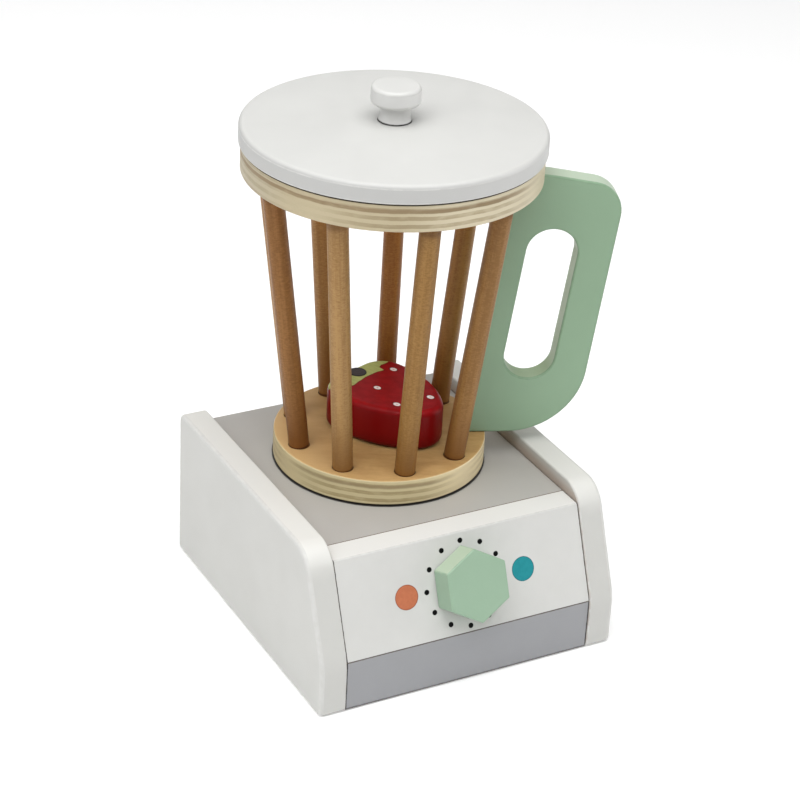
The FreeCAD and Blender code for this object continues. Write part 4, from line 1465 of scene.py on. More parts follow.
class Piece:
    """A mesh that is modelled in edit mode in a frame of its own, in millimetres.

    Attributes:
        SMOOTH: Edges that turn by less than this many degrees are shaded smooth.
        TURNS: An edge that turns by more than this many degrees isn't flat.
        NARROW: A face narrower than this beside such an edge is an eased edge.
        DRILL: How many sides a drilled hole has.
        thing: The piece's object.
    """

    SMOOTH = 35.0
    TURNS = 8.0
    NARROW = 0.6
    DRILL = 48

    def __init__(self, thing: bpy.types.Object) -> None:
        """Takes an object in hand."""
        self.thing = thing

    @classmethod
    def fresh(cls, name: str) -> "Piece":
        """Takes the primitive that was just added, and opens it in edit mode.

        Args:
            name: The piece's name.

        Returns:
            The piece, all selected, with its place and size in its mesh.
        """
        piece = cls(bpy.context.active_object)
        piece.thing.name = piece.thing.data.name = name
        bpy.ops.object.transform_apply(location=True, rotation=True, scale=True)
        bpy.ops.object.mode_set(mode="EDIT")
        bpy.ops.mesh.select_mode(type=Kind.CORNER.value)
        bpy.ops.mesh.select_all(action="SELECT")
        return piece

    @classmethod
    def block(cls, name: str, low: Spot, high: Spot) -> "Piece":
        """A board.

        Args:
            name: The piece's name.
            low: The corner with the least coordinates.
            high: The corner with the greatest.

        Returns:
            The piece.
        """
        let_go()
        start, end = Vector(low) * MM, Vector(high) * MM
        bpy.ops.mesh.primitive_cube_add(size=1, location=(start + end) / 2, scale=end - start)
        return cls.fresh(name)

    @classmethod
    def prism(cls, name: str, sides: int, radius: float, low: float, high: float) -> "Piece":
        """An upright prism, or a cylinder if it has many sides.

        Args:
            name: The piece's name.
            sides: How many sides it has.
            radius: The distance from its axis, which is Z, to its corners.
            low: The height of its underside.
            high: The height of its top.

        Returns:
            The piece.
        """
        let_go()
        middle, depth = (0, 0, (low + high) / 2 * MM), (high - low) * MM
        bpy.ops.mesh.primitive_cylinder_add(
            vertices=sides, radius=radius * MM, depth=depth, location=middle
        )
        return cls.fresh(name)

    @classmethod
    def drawn(cls, name: str, line: Sequence[Spot], closed: bool) -> "Piece":
        """A line drawn by extruding one corner from point to point.

        Args:
            name: The piece's name.
            line: The points.
            closed: Whether the last point is joined to the first.

        Returns:
            The piece.
        """
        let_go()
        bpy.ops.mesh.primitive_plane_add(size=MM)
        piece = cls.fresh(name)
        bpy.ops.mesh.merge(type="CENTER")
        piece.move(line[0])
        for before, after in zip(line, line[1:]):
            piece.extrude(Vector(after) - Vector(before))
        if closed:
            ends = [Vector(line[0]), Vector(line[-1])]
            piece.pick(Kind.CORNER, lambda c: min((c.co / MM - e).length for e in ends) < 1e-3)
            bpy.ops.mesh.edge_face_add()
        return piece

    @classmethod
    def lathed(
        cls, name: str, outline: Sequence[Spot], steps: int, closed: bool = False
    ) -> "Piece":
        """A turned piece.

        Args:
            name: The piece's name.
            outline: Each corner's distance from the axis, its height and its rounding.
            steps: How many steps the full turn has.
            closed: Whether the outline closes on itself, as a ring's does.

        Returns:
            The piece, with its outline spun about Z.
        """
        piece = cls.drawn(name, [(reach, 0, height) for reach, height, _ in outline], closed)
        for index, (reach, height, rounding) in enumerate(outline):
            if rounding:
                here = Vector((reach, height))
                before = Vector(outline[index - 1][:2]) - here
                after = Vector(outline[(index + 1) % len(outline)][:2]) - here
                start = tangent(rounding, math.degrees(before.angle(after)))
                piece.pick(Kind.CORNER, at(x=reach, z=height)).bevel(start, 5, corners=True)
        piece.pick(Kind.CORNER, anything)
        bpy.ops.mesh.spin(steps=steps, angle=2 * math.pi, center=(0, 0, 0), axis=(0, 0, 1))
        return piece.mended()

    def mended(self) -> "Piece":
        """Merges doubled corners and turns every face outward.

        Returns:
            The piece, all selected.
        """
        bpy.ops.mesh.select_all(action="SELECT")
        bpy.ops.mesh.remove_doubles(threshold=0.002 * MM)
        bpy.ops.mesh.normals_make_consistent(inside=False)
        return self

    def pick(self, kind: Kind, test: Test) -> "Piece":
        """Selects only the elements of one kind that pass a test.

        Args:
            kind: The kind of element.
            test: The test.

        Returns:
            The piece.

        Raises:
            ValueError: If no element passes.
        """
        bpy.ops.mesh.select_mode(type=kind.value)
        bpy.ops.mesh.select_all(action="DESELECT")
        form = bmesh.from_edit_mesh(self.thing.data)
        every = {Kind.CORNER: form.verts, Kind.EDGE: form.edges, Kind.FACE: form.faces}[kind]
        found = [element for element in every if test(element)]
        if not found:
            raise ValueError(f"{self.thing.name}: nothing passes the test")
        for element in found:
            element.select_set(True)
        form.select_flush_mode()
        bmesh.update_edit_mesh(self.thing.data)
        return self

    def bevel(self, width: float, segments: int, corners: bool = False) -> "Piece":
        """Rounds what is selected.

        Args:
            width: How far from the edge or the corner the round begins.
            segments: How many steps the round has.
            corners: Whether the corners of a line are rounded, and not edges.

        Returns:
            The piece.
        """
        bpy.ops.mesh.bevel(
            offset=width * MM,
            segments=segments,
            profile=0.5,
            affect="VERTICES" if corners else "EDGES",
            clamp_overlap=False,
        )
        return self

    def cut(self, point: Spot, outward: Spot) -> "Piece":
        """Saws off what lies beyond a plane, and closes the face.

        Args:
            point: A point on the plane.
            outward: The plane's normal, towards what falls off.

        Returns:
            The piece.
        """
        bpy.ops.mesh.select_all(action="SELECT")
        plane = {"plane_co": Vector(point) * MM, "plane_no": outward}
        bpy.ops.mesh.bisect(**plane, use_fill=True, clear_outer=True)
        return self

    def move(self, step: Sequence[float]) -> "Piece":
        """Moves the selected elements."""
        bpy.ops.transform.translate(value=Vector(step) * MM)
        return self

    def extrude(self, step: Sequence[float]) -> "Piece":
        """Pulls new corners, edges or faces out of the selected ones."""
        offset = {"value": Vector(step) * MM}
        bpy.ops.mesh.extrude_region_move(TRANSFORM_OT_translate=offset)
        return self

    def hold(self, edit: bool) -> "Piece":
        """Selects this piece alone, as the one that operators act on.

        Args:
            edit: Whether it is opened in edit mode.

        Returns:
            The piece.
        """
        let_go()
        bpy.context.view_layer.objects.active = self.thing
        self.thing.select_set(True)
        if edit:
            bpy.ops.object.mode_set(mode="EDIT")
        return self

    def modify(self, kind: str, **settings: Any) -> None:
        """Adds a modifier and applies it, in object mode.

        Args:
            kind: The modifier's type.
            **settings: The modifier's properties.
        """
        modifier = self.thing.modifiers.new(kind.lower(), kind)
        for name, value in settings.items():
            setattr(modifier, name, value)
        bpy.ops.object.modifier_apply(modifier=modifier.name)

    def subtract(self, tool: "Piece") -> "Piece":
        """Cuts another piece out of this one and throws the other away.

        Args:
            tool: The other piece.

        Returns:
            The piece, in edit mode.
        """
        self.hold(edit=False)
        self.modify("BOOLEAN", operation="DIFFERENCE", solver="EXACT", object=tool.thing)
        bpy.data.objects.remove(tool.thing)
        return self.hold(edit=True)

    def drill(self, place: Matrix, radius: float, low: float, high: float) -> "Piece":
        """Drills a round hole.

        Args:
            place: The hole's frame, whose Z axis is the hole's axis.
            radius: The hole's radius.
            low: Where the hole ends along that axis.
            high: Where the drill comes in.

        Returns:
            The piece, in edit mode.
        """
        bit = Piece.prism("bit", self.DRILL, radius, low, high)
        let_go()
        bit.thing.data.transform(place)
        return self.subtract(bit)

    def note_own(self, shift: Spot = (0, 0, 0)) -> "Piece":
        """Keeps each corner's own coordinates, and which faces are eased edges.

        Args:
            shift: What is added to the coordinates.

        Returns:
            The piece, in object mode.
        """
        let_go()
        mesh = self.thing.data
        own = mesh.attributes.new("own", "FLOAT_VECTOR", "POINT")
        for corner, kept in zip(mesh.vertices, own.data):
            kept.vector = corner.co / MM + Vector(shift)
        form = bmesh.new()
        form.from_mesh(mesh)
        eased = [float(any(self.narrow(face, edge) for edge in face.edges)) for face in form.faces]
        form.free()
        mesh.attributes.new("eased", "FLOAT", "FACE").data.foreach_set("value", eased)
        return self

    @classmethod
    def narrow(cls, face: Any, edge: Any) -> bool:
        """Whether the face is a narrow strip beside an edge that isn't flat."""
        turns = edge.calc_face_angle(0.0) > math.radians(cls.TURNS)
        return turns and face.calc_area() / edge.calc_length() < cls.NARROW * MM

    def copy(self, name: str) -> "Piece":
        """Copies the piece, with a mesh of its own.

        Args:
            name: The copy's name.

        Returns:
            The copy, in object mode.
        """
        twin = Piece(self.thing.copy())
        twin.thing.data = self.thing.data.copy()
        twin.thing.name = twin.thing.data.name = name
        bpy.context.scene.collection.objects.link(twin.thing)
        return twin

    def settle(self, place: Matrix, finish: Finish, body: Body, node: str) -> None:
        """Lays the piece in the row frame, dresses it and hands it to its body.

        Args:
            place: The piece's own frame, in metres.
            finish: What it is finished with.
            body: The body that it moves with.
            node: The node of the frame that it stands for.
        """
        if "own" not in self.thing.data.attributes:
            self.note_own()
        self.thing.data.transform(place)
        self.hold(edit=False)
        bpy.ops.object.shade_smooth_by_angle(angle=math.radians(self.SMOOTH))
        self.modify("WEIGHTED_NORMAL", weight=60, keep_sharp=True)
        self.thing.data.materials.clear()
        self.thing.data.materials.append(finish.material())
        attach(self.thing, body.value)
        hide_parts(node)
        faces = len(self.thing.data.polygons)
        LOG.info("%s: %d faces, on %s", self.thing.name, faces, body.value)


# ------------------------------------------------------------------------------ sub-assemblies


@dataclass
class SubAssembly:
    """What every sub-assembly has: the shared layout and a way to build it."""

    layout: Layout

    def build(self) -> None:
        """Models and dresses the pieces."""
        raise NotImplementedError


class Side(Enum):
    """The two sides of the base, by the sign of their X."""

    LEFT = -1
    RIGHT = 1


@dataclass
class BaseBox(SubAssembly):
    """The box of painted boards that the jug stands on.

    Attributes:
        height: The height of the side boards.
        foot_round: The radius of their lower corners.
        knee_round: The radius where their front edge starts to slope.
        brow_round: The radius where the slope meets their top edge.
        back_round: The radius of their upper corner at the back.
        outer_ease: The radius of their outer edges.
        inner_ease: The radius of their inner edges.
        front_board: The thickness of the sloped board.
        spindle_hole: The radius of its hole for the knob's spindle.
        top_round: The radius of its top edge.
        back_board: The thickness of the back board.
        lift: How far the front and back boards hang above the ground.
        ease: The width of the eased edges of the boards between the sides.
    """

    height: float = 70.8
    foot_round: float = 2.5
    knee_round: float = 25.0
    brow_round: float = 13.5
    back_round: float = 4.0
    outer_ease: float = 1.6
    inner_ease: float = 0.7
    front_board: float = 11.0
    spindle_hole: float = 4.06
    top_round: float = 0.8
    back_board: float = 9.0
    lift: float = 0.5
    ease: float = 0.35

    def side_panel(self, side: Side) -> None:
        """One side board with its rounded profile.

        Args:
            side: Which side it stands on.
        """
        layout, name = self.layout, f"{side.name.lower()}_side"
        inner, outer = side.value * layout.inside, side.value * layout.width / 2
        front, back, knee = -layout.depth / 2, layout.depth / 2, layout.knee
        cosine, sine = layout.lean
        brow = front + (self.height - knee) * sine / cosine
        low = (min(inner, outer), front, 0)
        high = (max(inner, outer), back, self.height)
        piece = Piece.block(f"{name}_board", low, high)
        piece.cut((0, front, knee), (0, -cosine, sine))
        # Where each round's edge lies, its radius, the corner's inside angle and its steps.
        rounds = [
            (front, 0.0, self.foot_round, 90.0, 4),
            (front, knee, self.knee_round, 180 - layout.slope, 6),
            (brow, self.height, self.brow_round, 90 + layout.slope, 10),
            (back, self.height, self.back_round, 90.0, 5),
            (back, 0.0, self.foot_round, 90.0, 4),
        ]
        for y, z, radius, inside, segments in rounds:
            piece.pick(Kind.EDGE, at(y=y, z=z)).bevel(tangent(radius, inside), segments)
        piece.pick(Kind.EDGE, at(x=outer)).bevel(self.outer_ease, 5)
        piece.pick(Kind.EDGE, at(x=inner)).bevel(self.inner_ease, 3)
        piece.settle(Matrix(), SIDE_WHITE, Body.BASE, f"{name}_panel")

    def deck(self) -> None:
        """The board under the jug, with its front end sawn to the slope."""
        cosine, sine = self.layout.lean
        top, board, across = self.layout.deck_height, self.layout.board, self.layout.inside
        front = self.layout.front_top + self.front_board / cosine
        low = (-across, front - board * sine / cosine, top - board)
        piece = Piece.block("deck_board", low, (across, self.layout.depth / 2, top))
        piece.cut((0, front, top), (0, -cosine, sine))
        piece.pick(Kind.EDGE, anything).bevel(self.ease, 2)
        piece.settle(Matrix(), DECK_GREY, Body.BASE, "deck_panel")

    def front(self) -> None:
        """The sloped board that carries the dial, with its spindle hole."""
        cosine, sine = self.layout.lean
        length = (self.layout.deck_height - self.layout.knee) / cosine
        step, across = self.front_board * sine / cosine, self.layout.inside
        low, high = (-across, -length, -self.front_board), (across, step, 0)
        piece = Piece.block("dial_board", low, high)
        piece.cut((0, 0, 0), (0, cosine, sine))
        piece.cut((0, -length, 0), (0, -cosine, -sine))
        piece.pick(Kind.EDGE, at(y=0, z=0)).bevel(self.top_round, 4)
        ends = either(at(x=-across), at(x=across), at(y=-length, z=0))
        piece.pick(Kind.EDGE, ends).bevel(self.ease, 2)
        hole = shifted(Matrix(), y=-self.layout.dial_drop)
        piece.drill(hole, self.spindle_hole, -self.front_board - 3, 3)
        piece.settle(self.layout.face(), DIAL, Body.BASE, "front_panel")

    def plank(self, name: str, low: Spot, high: Spot, finish: Finish) -> None:
        """A plain board with eased edges.

        Args:
            name: What it stands for: its piece is its board and its node its panel.
            low: The corner with the least coordinates.
            high: The corner with the greatest.
            finish: What it is painted with.
        """
        piece = Piece.block(f"{name}_board", low, high)
        piece.pick(Kind.EDGE, anything).bevel(self.ease, 2)
        piece.settle(Matrix(), finish, Body.BASE, f"{name}_panel")

    def build(self) -> None:
        """Models the boards that can be seen."""
        for side in Side:
            self.side_panel(side)
        self.deck()
        self.front()
        board, across, foot = self.layout.board, self.layout.inside, self.layout.front_foot
        high = (across, foot + board, self.layout.knee)
        self.plank("kick", (-across, foot, self.lift), high, KICK_GREY)
        rear = self.layout.depth / 2
        high = (across, rear, self.layout.deck_height - board)
        self.plank("back", (-across, rear - self.back_board, self.lift), high, WHITE)


@dataclass
class SpeedKnob(SubAssembly):
    """The hexagonal knob on the sloped front.

    Attributes:
        reach: The distance from its axis to its corners.
        rounding: The radius of its edges.
        ease: The radius of the edges beside the board.
        bore: The radius of its hole for the spindle.
        bore_depth: How far from the board that hole ends.
    """

    reach: float = 16.1
    rounding: float = 0.8
    ease: float = 0.4
    bore: float = 4.05
    bore_depth: float = 8.3

    def build(self) -> None:
        """Models the knob."""
        low, high = self.layout.clearance, self.layout.knob_height
        piece = Piece.prism("hexagon_knob", 6, self.reach, low, high)
        piece.pick(Kind.EDGE, rising((high - low) / 2)).bevel(tangent(self.rounding, 120), 4)
        piece.pick(Kind.EDGE, at(z=high)).bevel(self.rounding, 4)
        piece.pick(Kind.EDGE, at(z=low)).bevel(self.ease, 2)
        piece.drill(Matrix(), self.bore, -2, self.bore_depth)
        piece.settle(self.layout.dial(), KNOB_MINT, Body.KNOB, "speed_knob")


@dataclass
class Handle(SubAssembly):
    """The jug's flat handle with its long rounded grip.

    Attributes:
        inner: How far from the jug's axis its foot begins.
        tilt: How far its inner edge leans outward, in radians.
        half: Half its thickness.
        reach: How far out its back lies at the height of the ring.
        flat: How far out its level top ends.
        back_lean: How far its back leans outward, in degrees.
        fall: How steeply its top falls past the level part, in degrees.
        heel_round: The radius of its heel.
        shoulder_round: The radius where its top meets its back.
        brow_round: The radius where its top starts to fall.
        grip: The radius of the grip's round ends.
        ease: The radius of its edges.
    """

    inner: float
    tilt: float
    half: float = 5.0
    reach: float = 100.7
    flat: float = 64.0
    back_lean: float = 6.8
    fall: float = 9.8
    heel_round: float = 33.0
    shoulder_round: float = 14.0
    brow_round: float = 60.0
    grip: float = 11.2
    ease: float = 0.9

    def hole(self) -> Piece:
        """The tool that cuts the grip: a cylinder drawn out from its foot to its head.

        Returns:
            The tool, in edit mode.
        """
        (low_x, low_z), (high_x, high_z) = self.layout.grip_foot, self.layout.grip_head
        low, high = Vector((low_x, 0, low_z)), Vector((high_x, 0, high_z))
        along, deep = high - low, self.half + 4
        tool = Piece.prism("grip", 96, self.grip, -deep, deep)
        let_go()
        tool.thing.data.transform(shifted(Matrix(), *low) @ turned(90, "X"))
        tool.hold(edit=True)
        tool.pick(Kind.CORNER, lambda c: (c.co / MM - low).dot(along) > 1e-3)
        return tool.move(along)

    def build(self) -> None:
        """Models the handle."""
        top, half = self.layout.cage_height, self.half
        lean, fall = math.radians(self.back_lean), math.radians(self.fall)
        # The falling top and the leaning back meet this far below the ring's height.
        heel = self.reach - top * math.tan(lean)
        drop = (self.reach - self.flat) * math.tan(fall) / (1 + math.tan(lean) * math.tan(fall))
        piece = Piece.block("handle_board", (self.inner, -half, 0), (self.reach, half, top))
        piece.cut((heel, 0, 0), (math.cos(lean), 0, -math.sin(lean)))
        piece.cut((self.flat, 0, top), (math.sin(fall), 0, math.cos(fall)))
        piece.cut((self.inner, 0, 0), (-math.cos(self.tilt), 0, math.sin(self.tilt)))
        shoulder = (self.reach - drop * math.tan(lean), top - drop)
        # Where each round's edge lies, its radius, the corner's inside angle and its steps.
        rounds = [
            ((heel, 0.0), self.heel_round, 90 + self.back_lean, 18),
            (shoulder, self.shoulder_round, 90 + self.fall - self.back_lean, 12),
            ((self.flat, top), self.brow_round, 180 - self.fall, 5),
        ]
        for (x, z), radius, inside, segments in rounds:
            piece.pick(Kind.EDGE, at(x=x, z=z)).bevel(tangent(radius, inside), segments)
        piece.subtract(self.hole())
        piece.pick(Kind.EDGE, sharp(either(at(y=-half), at(y=half)))).bevel(self.ease, 4)
        piece.settle(self.layout.cage(), HANDLE_MINT, Body.JUG, "jug_handle")


@dataclass
class Jug(SubAssembly):
    """The caged jug: disc, ring, leaning dowels and handle.

    Attributes:
        places: How many places there are round the cage; the handle takes the first.
        dowel: A dowel's radius.
        seat: How deep a dowel's seat is, measured along the dowel.
        play: How much wider a seat's radius is than the dowel's.
        foot_reach: How far from the jug's axis a dowel leaves the disc.
        head_reach: How far from the axis it enters the ring.
        disc_reach: The disc's radius.
        ring_reach: The ring's outer radius.
        opening: The radius of the ring's opening.
        ease: The radius of the edges of disc and ring.
        dowel_ease: The radius of the dowels' end edges.
        steps: How many sides the disc and the ring have.
        dowel_steps: How many sides a dowel has.
    """

    places: int = 9
    dowel: float = 4.5
    seat: float = 8.0
    play: float = 0.22
    foot_reach: float = 39.0
    head_reach: float = 54.8
    disc_reach: float = 46.75
    ring_reach: float = 63.6
    opening: float = 47.0
    ease: float = 0.8
    dowel_ease: float = 0.5
    steps: int = 192
    dowel_steps: int = 48

    @property
    def lean(self) -> float:
        """How far the dowels lean outward, in radians."""
        return math.atan((self.head_reach - self.foot_reach) / self.layout.cage_height)

    @property
    def run(self) -> float:
        """A dowel's length between the disc and the ring."""
        return self.layout.cage_height / math.cos(self.lean)

    def stand(self, number: int) -> Matrix:
        """A dowel's frame in the cage: its axis along Z, from the top of the disc."""
        turn = turned(360 / self.places * number, "Z")
        return shifted(turn, self.foot_reach) @ Matrix.Rotation(self.lean, 4, "Y")

    def seats(self, piece: Piece, rise: float, low: float, high: float) -> None:
        """Drills the seats of all dowels.

        Args:
            piece: The disc or the ring.
            rise: How far above the piece's own zero the dowels' frames begin.
            low: Where a hole begins along the dowel.
            high: Where it ends.
        """
        for number in range(1, self.places):
            place = shifted(Matrix(), z=rise) @ self.stand(number)
            piece.drill(place, self.dowel + self.play, low, high)

    def disc(self) -> None:
        """The foot disc with its eight blind seats."""
        board = self.layout.board
        piece = Piece.prism("foot_disc", self.steps, self.disc_reach, 0, board)
        piece.pick(Kind.EDGE, either(at(z=0), at(z=board))).bevel(self.ease, 4)
        self.seats(piece, board, -self.seat, self.seat)
        piece.settle(self.layout.jug(), DISC_PLY, Body.JUG, "jug_base_disc")

    def ring(self) -> None:
        """The ring under the lid with its eight blind seats."""
        inner, outer, top = self.opening, self.ring_reach, self.layout.board
        corners = [(inner, 0.0), (outer, 0.0), (outer, top), (inner, top)]
        outline = [(reach, height, self.ease) for reach, height in corners]
        piece = Piece.lathed("head_ring", outline, self.steps, closed=True)
        self.seats(piece, -self.layout.cage_height, self.run - self.seat, self.run + self.seat)
        piece.settle(self.layout.ring(), RING_PLY, Body.JUG, "jug_ring")

    def dowels(self) -> None:
        """The eight leaning dowels, modelled once and copied."""
        low, high = -self.seat, self.run + self.seat
        model = Piece.prism("dowel_model", self.dowel_steps, self.dowel, low, high)
        model.pick(Kind.EDGE, either(at(z=low), at(z=high))).bevel(self.dowel_ease, 2)
        let_go()
        for number in range(1, self.places):
            finish = DOWELS[number]
            twin = model.copy(f"dowel_{number}").note_own(finish.shift(number))
            place = self.layout.cage() @ self.stand(number)
            twin.settle(place, finish, Body.JUG, f"jug_dowel_{number}")
        bpy.data.objects.remove(model.thing)

    def build(self) -> None:
        """Models the jug."""
        self.disc()
        self.ring()
        self.dowels()
        Handle(self.layout, self.foot_reach - self.dowel, self.lean).build()


@dataclass
class Lid(SubAssembly):
    """The turned lid with its knob and the plug under it.

    Attributes:
        reach: The lid's radius.
        rim: The height of its rim.
        dome: How far its middle rises above the rim.
        foot_round: The radius of its lower edge.
        rim_round: The radius of its upper edge.
        crown_steps: The distances from the middle at which the dome has a step.
        flare: The flared foot of the knob, as the distance from its axis and the height.
        neck: The radius of the knob's neck.
        cap_foot: The height of the underside of the knob's cap.
        cap_top: The height of its top.
        cap_reach: Its radius.
        cap_round: The radius of its edges.
        plug_reach: The plug's radius.
        plug_depth: How deep it goes into the ring.
        plug_round: The radius of its lower edge.
    """

    reach: float = 64.6
    rim: float = 8.1
    dome: float = 2.0
    foot_round: float = 0.8
    rim_round: float = 2.0
    crown_steps: tuple[float, ...] = (54.0, 42.0, 30.0, 18.0, 9.0, 0.0)
    flare: tuple[Span, ...] = ((7.3, 0.0), (6.7, 0.9), (6.4, 3.0))
    neck: float = 6.4
    cap_foot: float = 7.6
    cap_top: float = 15.5
    cap_reach: float = 10.5
    cap_round: float = 1.6
    plug_reach: float = 46.0
    plug_depth: float = 6.0
    plug_round: float = 1.0

    def crown(self, reach: float) -> float:
        """The height of the domed top at a distance from the middle."""
        sphere = (self.reach**2 + self.dome**2) / (2 * self.dome)
        return self.rim + self.dome - sphere + math.sqrt(sphere**2 - reach**2)

    def disc(self) -> None:
        """The lid itself, domed on top."""
        rim = [(self.reach, 0.0, self.foot_round), (self.reach, self.rim, self.rim_round)]
        top = [(reach, self.crown(reach), 0.0) for reach in self.crown_steps]
        piece = Piece.lathed("lid_board", [(0.0, 0.0, 0.0), *rim, *top], steps=192)
        piece.settle(self.layout.lid(), LID_WHITE, Body.LID, "lid_disc")

    def knob(self) -> None:
        """The turned knob on the lid."""
        foot = [(reach, height, 0.0) for reach, height in self.flare]
        cap = [(self.cap_reach, z, self.cap_round) for z in (self.cap_foot, self.cap_top)]
        stalk = [(0.0, 0.0, 0.0), *foot, (self.neck, self.cap_foot, 0.0)]
        outline = [*stalk, *cap, (0.0, self.cap_top, 0.0)]
        piece = Piece.lathed("lid_knob_turned", outline, steps=72)
        crown = shifted(self.layout.lid(), z=self.rim + self.dome)
        piece.settle(crown, CAP_WHITE, Body.LID, "lid_knob")

    def plug(self) -> None:
        """The plug that centres the lid in the ring."""
        reach, foot = self.plug_reach, -self.plug_depth
        outline = [(0.0, foot, 0.0), (reach, foot, self.plug_round), (reach, 0.0, 0.0)]
        piece = Piece.lathed("lid_plug_turned", [*outline, (0.0, 0.0, 0.0)], steps=160)
        piece.settle(self.layout.lid(), BARE, Body.LID, "lid_plug")

    def build(self) -> None:
        """Models the lid's three wooden pieces."""
        self.disc()
        self.knob()
        self.plug()


@dataclass(frozen=True)
class Arc:
    """A round stretch of an outline.

    Attributes:
        centre: Its centre.
        radius: Its radius.
        start: The bearing of its start, in radians.
        end: The bearing of its end.
        steps: How many steps it has.
    """

    centre: Vector
    radius: float
    start: float
    end: float
    steps: int

    def points(self) -> list[Span]:
        """The points of the arc, all but its end.

        Returns:
            The points.
        """
        turn = (self.end - self.start) / self.steps
        angles = [self.start + turn * count for count in range(self.steps)]
        x, y = self.centre
        return [(x + self.radius * math.cos(a), y + self.radius * math.sin(a)) for a in angles]


@dataclass
class Strawberry(SubAssembly):
    """The wooden strawberry that lies in the jug.

    Attributes:
        length: Its length, from the calyx end to the tip.
        half_width: How far its shoulders reach to either side.
        shoulder: The radius of its shoulders.
        side: The radius of its full sides.
        tip: The radius of its tip.
        rounding: The radius of its upper and lower edges.
        middle: Where its middle lies, as X and Y in the row frame.
        turn: How far it is turned, in degrees.
        stem_inset: How far from the calyx end the stem stands.
        stem_depth: How deep the stem is let in.
        stem_proud: How far it stands out of the block.
    """

    length: float = 52.0
    half_width: float = 21.4
    shoulder: float = 12.2
    side: float = 48.0
    tip: float = 12.0
    rounding: float = 3.0
    middle: Span = (5.0, 15.4)
    turn: float = -70.0
    stem_inset: float = 5.0
    stem_depth: float = 5.0
    stem_proud: float = 0.4

    def flank(self, upper: Vector, point: Vector) -> Vector:
        """The centre of a full side, whose arc touches the shoulder's and the tip's.

        Args:
            upper: The shoulder's centre.
            point: The tip's centre.

        Returns:
            The centre.
        """
        # It lies at known distances from the two other centres.
        link = point - upper
        to_upper, to_point = self.side - self.shoulder, self.side - self.tip
        step = (link.length_squared + to_upper**2 - to_point**2) / (2 * link.length)
        rise = math.sqrt(to_upper**2 - step**2)
        unit = link.normalized()
        return upper + unit * step + Vector((unit.y, -unit.x)) * rise

    def outline(self) -> list[Spot]:
        """The closed outline: a tip, two full sides and two shoulders.

        Returns:
            Its points, from the tip round.
        """
        half, spread = self.length / 2, self.half_width - self.shoulder
        upper, point = Vector((self.shoulder - half, spread)), Vector((half - self.tip, 0))
        flank = self.flank(upper, point)
        first, last = [math.atan2(to.y - flank.y, to.x - flank.x) for to in (upper, point)]
        line = Arc(point, self.tip, 0.0, last, 8).points()
        line += Arc(flank, self.side, last, first, 12).points()
        line += Arc(upper, self.shoulder, first, math.pi, 10).points()
        line.append((-half, spread))
        mirrored = [(x, -y) for x, y in reversed(line[1:])]
        return [(x, y, 0.0) for x, y in line + mirrored]

    def build(self) -> None:
        """Models the block and its stem."""
        layout, thickness = self.layout, self.layout.berry_depth
        floor = layout.deck_height + layout.board + 2 * layout.clearance
        place = shifted(Matrix(), *self.middle, floor) @ turned(self.turn, "Z")
        piece = Piece.drawn("berry_block", self.outline(), closed=True)
        bpy.ops.mesh.select_all(action="SELECT")
        bpy.ops.mesh.edge_face_add()
        piece.pick(Kind.FACE, anything).extrude((0, 0, thickness)).mended()
        piece.pick(Kind.EDGE, either(at(z=0), at(z=thickness))).bevel(self.rounding, 6)
        piece.settle(place, BERRY, Body.BERRY, "strawberry_block")

        low, high = -self.stem_depth, self.stem_proud
        stem = Piece.prism("berry_stem", 48, layout.stem_reach, low, high)
        stem.pick(Kind.EDGE, at(z=high)).bevel(high, 3)
        seat = shifted(place, self.stem_inset - self.length / 2, 0, thickness)
        stem.settle(seat, STEM, Body.BERRY, "strawberry_stem")


HIDDEN = {
    "floor_panel": BARE,
    "glue_blocks": BARE,
    "panel_pins": PIN,
    "floor_screws": STEEL,
    "knob_spindle": PIN,
    "spindle_washer": STEEL,
    "spindle_screw": STEEL,
    "handle_pins": PIN,
    "lid_screw": STEEL,
}


def dress_hidden(nodes: dict[str, bpy.types.Object]) -> None:
    """Gives the frame's remaining nodes their finishes.

    Args:
        nodes: The frame's nodes by name.
    """
    for name, finish in HIDDEN.items():
        thing = nodes[name]
        if not thing.material_slots:
            thing.data.materials.append(None)
        for slot in thing.material_slots:
            slot.material = finish.material()
        LOG.info("%s: dressed", name)


# --------------------------------------------------------------------------------- the studio


@dataclass(frozen=True)
class Lamp:
    """A soft square light that faces the toy.

    Attributes:
        name: Its name.
        eye: Where it hangs, in metres.
        size: The length of its sides, in metres.
        power: Its power, in watts.
    """

    name: str
    eye: Spot
    size: float
    power: float

    def hang(self, aim: Spot) -> None:
        """Adds the light to the scene.

        Args:
            aim: The point that it faces.
        """
        data = bpy.data.lights.new(self.name, "AREA")
        data.shape, data.size, data.energy = "SQUARE", self.size, self.power
        thing = bpy.data.objects.new(self.name, data)
        turn = (Vector(aim) - Vector(self.eye)).to_track_quat("-Z", "Y").to_matrix().to_4x4()
        thing.matrix_world = Matrix.Translation(self.eye) @ turn
        bpy.context.scene.collection.objects.link(thing)


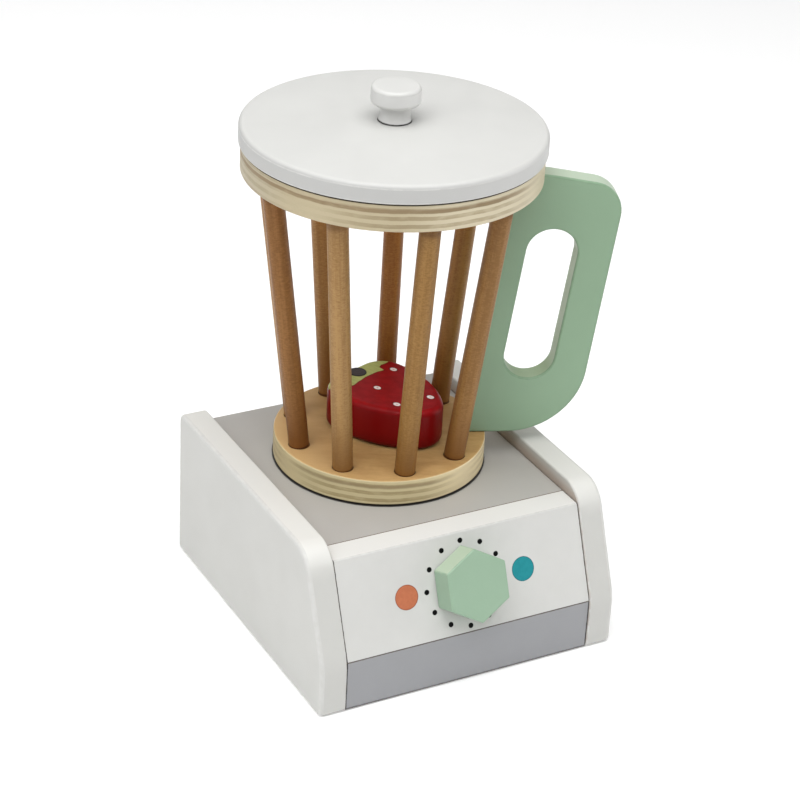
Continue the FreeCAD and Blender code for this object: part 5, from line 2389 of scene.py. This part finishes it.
@dataclass
class Studio:
    """The pale floor, the soft lights and the camera. Lengths are in metres.

    Attributes:
        bearing: The camera's bearing from the toy's front, in degrees.
        height: How far up the camera stands, in degrees.
        roll: How far it is turned about its own axis, in degrees.
        distance: How far it stands from what it looks at.
        lens: Its focal length, in millimetres.
        sensor: The width of its sensor, in millimetres.
        target: The point that it looks at.
        aim: The point that the lights face.
        ambient: The strength of the white world.
        sheet: The length of the floor's sides.
        pale: The floor's reflectance.
        glow: How strongly the floor is lit from below.
        lamps: The lights.
    """

    bearing: float = -29.303
    height: float = 28.262
    roll: float = 3.103
    distance: float = 1.1026
    lens: float = 109.73
    sensor: float = 36.0
    target: Spot = (0.0214, 0.0374, 0.0758)
    aim: Spot = (0.0, 0.0, 0.1)
    ambient: float = 0.22
    sheet: float = 8.0
    pale: float = 0.9
    glow: float = 0.16
    lamps: tuple[Lamp, ...] = (
        Lamp("overhead", (-0.15, -0.35, 1.5), 1.4, 22.0),
        Lamp("rear", (0.3, 1.0, 1.5), 1.2, 3.5),
        Lamp("front", (-0.5, -1.2, 1.1), 1.0, 1.4),
        Lamp("left", (-1.1, -0.3, 1.2), 1.0, 7.3),
        Lamp("left_rear", (-1.2, 0.8, 0.9), 1.0, 2.0),
        Lamp("right", (1.7, -0.4, 0.8), 1.2, 2.3),
        Lamp("right_low", (1.5, -0.6, 0.5), 0.9, 3.6),
    )

    def camera(self) -> None:
        """Sets the camera at the toy's left front."""
        turn, lift = math.radians(self.bearing), math.radians(self.height)
        away = (math.sin(turn) * math.cos(lift), -math.cos(turn) * math.cos(lift), math.sin(lift))
        back, right = Vector(away), Vector((math.cos(turn), math.sin(turn), 0))
        axes = Matrix((right, back.cross(right), back)).transposed().to_4x4()
        data = bpy.data.cameras.new("camera")
        data.lens, data.sensor_width = self.lens, self.sensor
        thing = bpy.data.objects.new("camera", data)
        eye = Matrix.Translation(Vector(self.target) + back * self.distance)
        thing.matrix_world = eye @ axes @ turned(self.roll, "Z")
        bpy.context.scene.collection.objects.link(thing)
        bpy.context.scene.camera = thing

    def floor(self) -> None:
        """Lays the pale floor, a diffuse sheet that is faintly lit from below."""
        let_go()
        bpy.ops.mesh.primitive_plane_add(size=self.sheet)
        floor = bpy.context.active_object
        floor.name = "floor"
        shader = Shader("pale_floor", 0.9, 0.0)
        shader.colour((self.pale, self.pale, self.pale, 1.0))
        shader.feed(shader.surface.inputs["Emission Color"], (1.0, 1.0, 1.0, 1.0))
        shader.feed(shader.surface.inputs["Emission Strength"], self.glow)
        floor.data.materials.append(shader.material)

    def backdrop(self) -> None:
        """Fills the world with a faint white light."""
        world = bpy.data.worlds.new("studio")
        world.use_nodes = True
        light = world.node_tree.nodes["Background"]
        light.inputs["Color"].default_value = (1.0, 1.0, 1.0, 1.0)
        light.inputs["Strength"].default_value = self.ambient
        bpy.context.scene.world = world

    def build(self) -> None:
        """Sets up the whole studio."""
        self.camera()
        self.floor()
        for lamp in self.lamps:
            lamp.hang(self.aim)
        self.backdrop()
        bpy.context.scene.view_settings.view_transform = "Standard"


def main() -> None:
    """Builds the sub-assemblies in order and reports each piece."""
    logging.basicConfig(level=logging.INFO, format="%(message)s")
    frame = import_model()
    Studio().build()
    for sub_assembly in (BaseBox, SpeedKnob, Jug, Lid, Strawberry):
        sub_assembly(LAYOUT).build()
    dress_hidden(frame["nodes"])


if __name__ == "__main__":
    main()
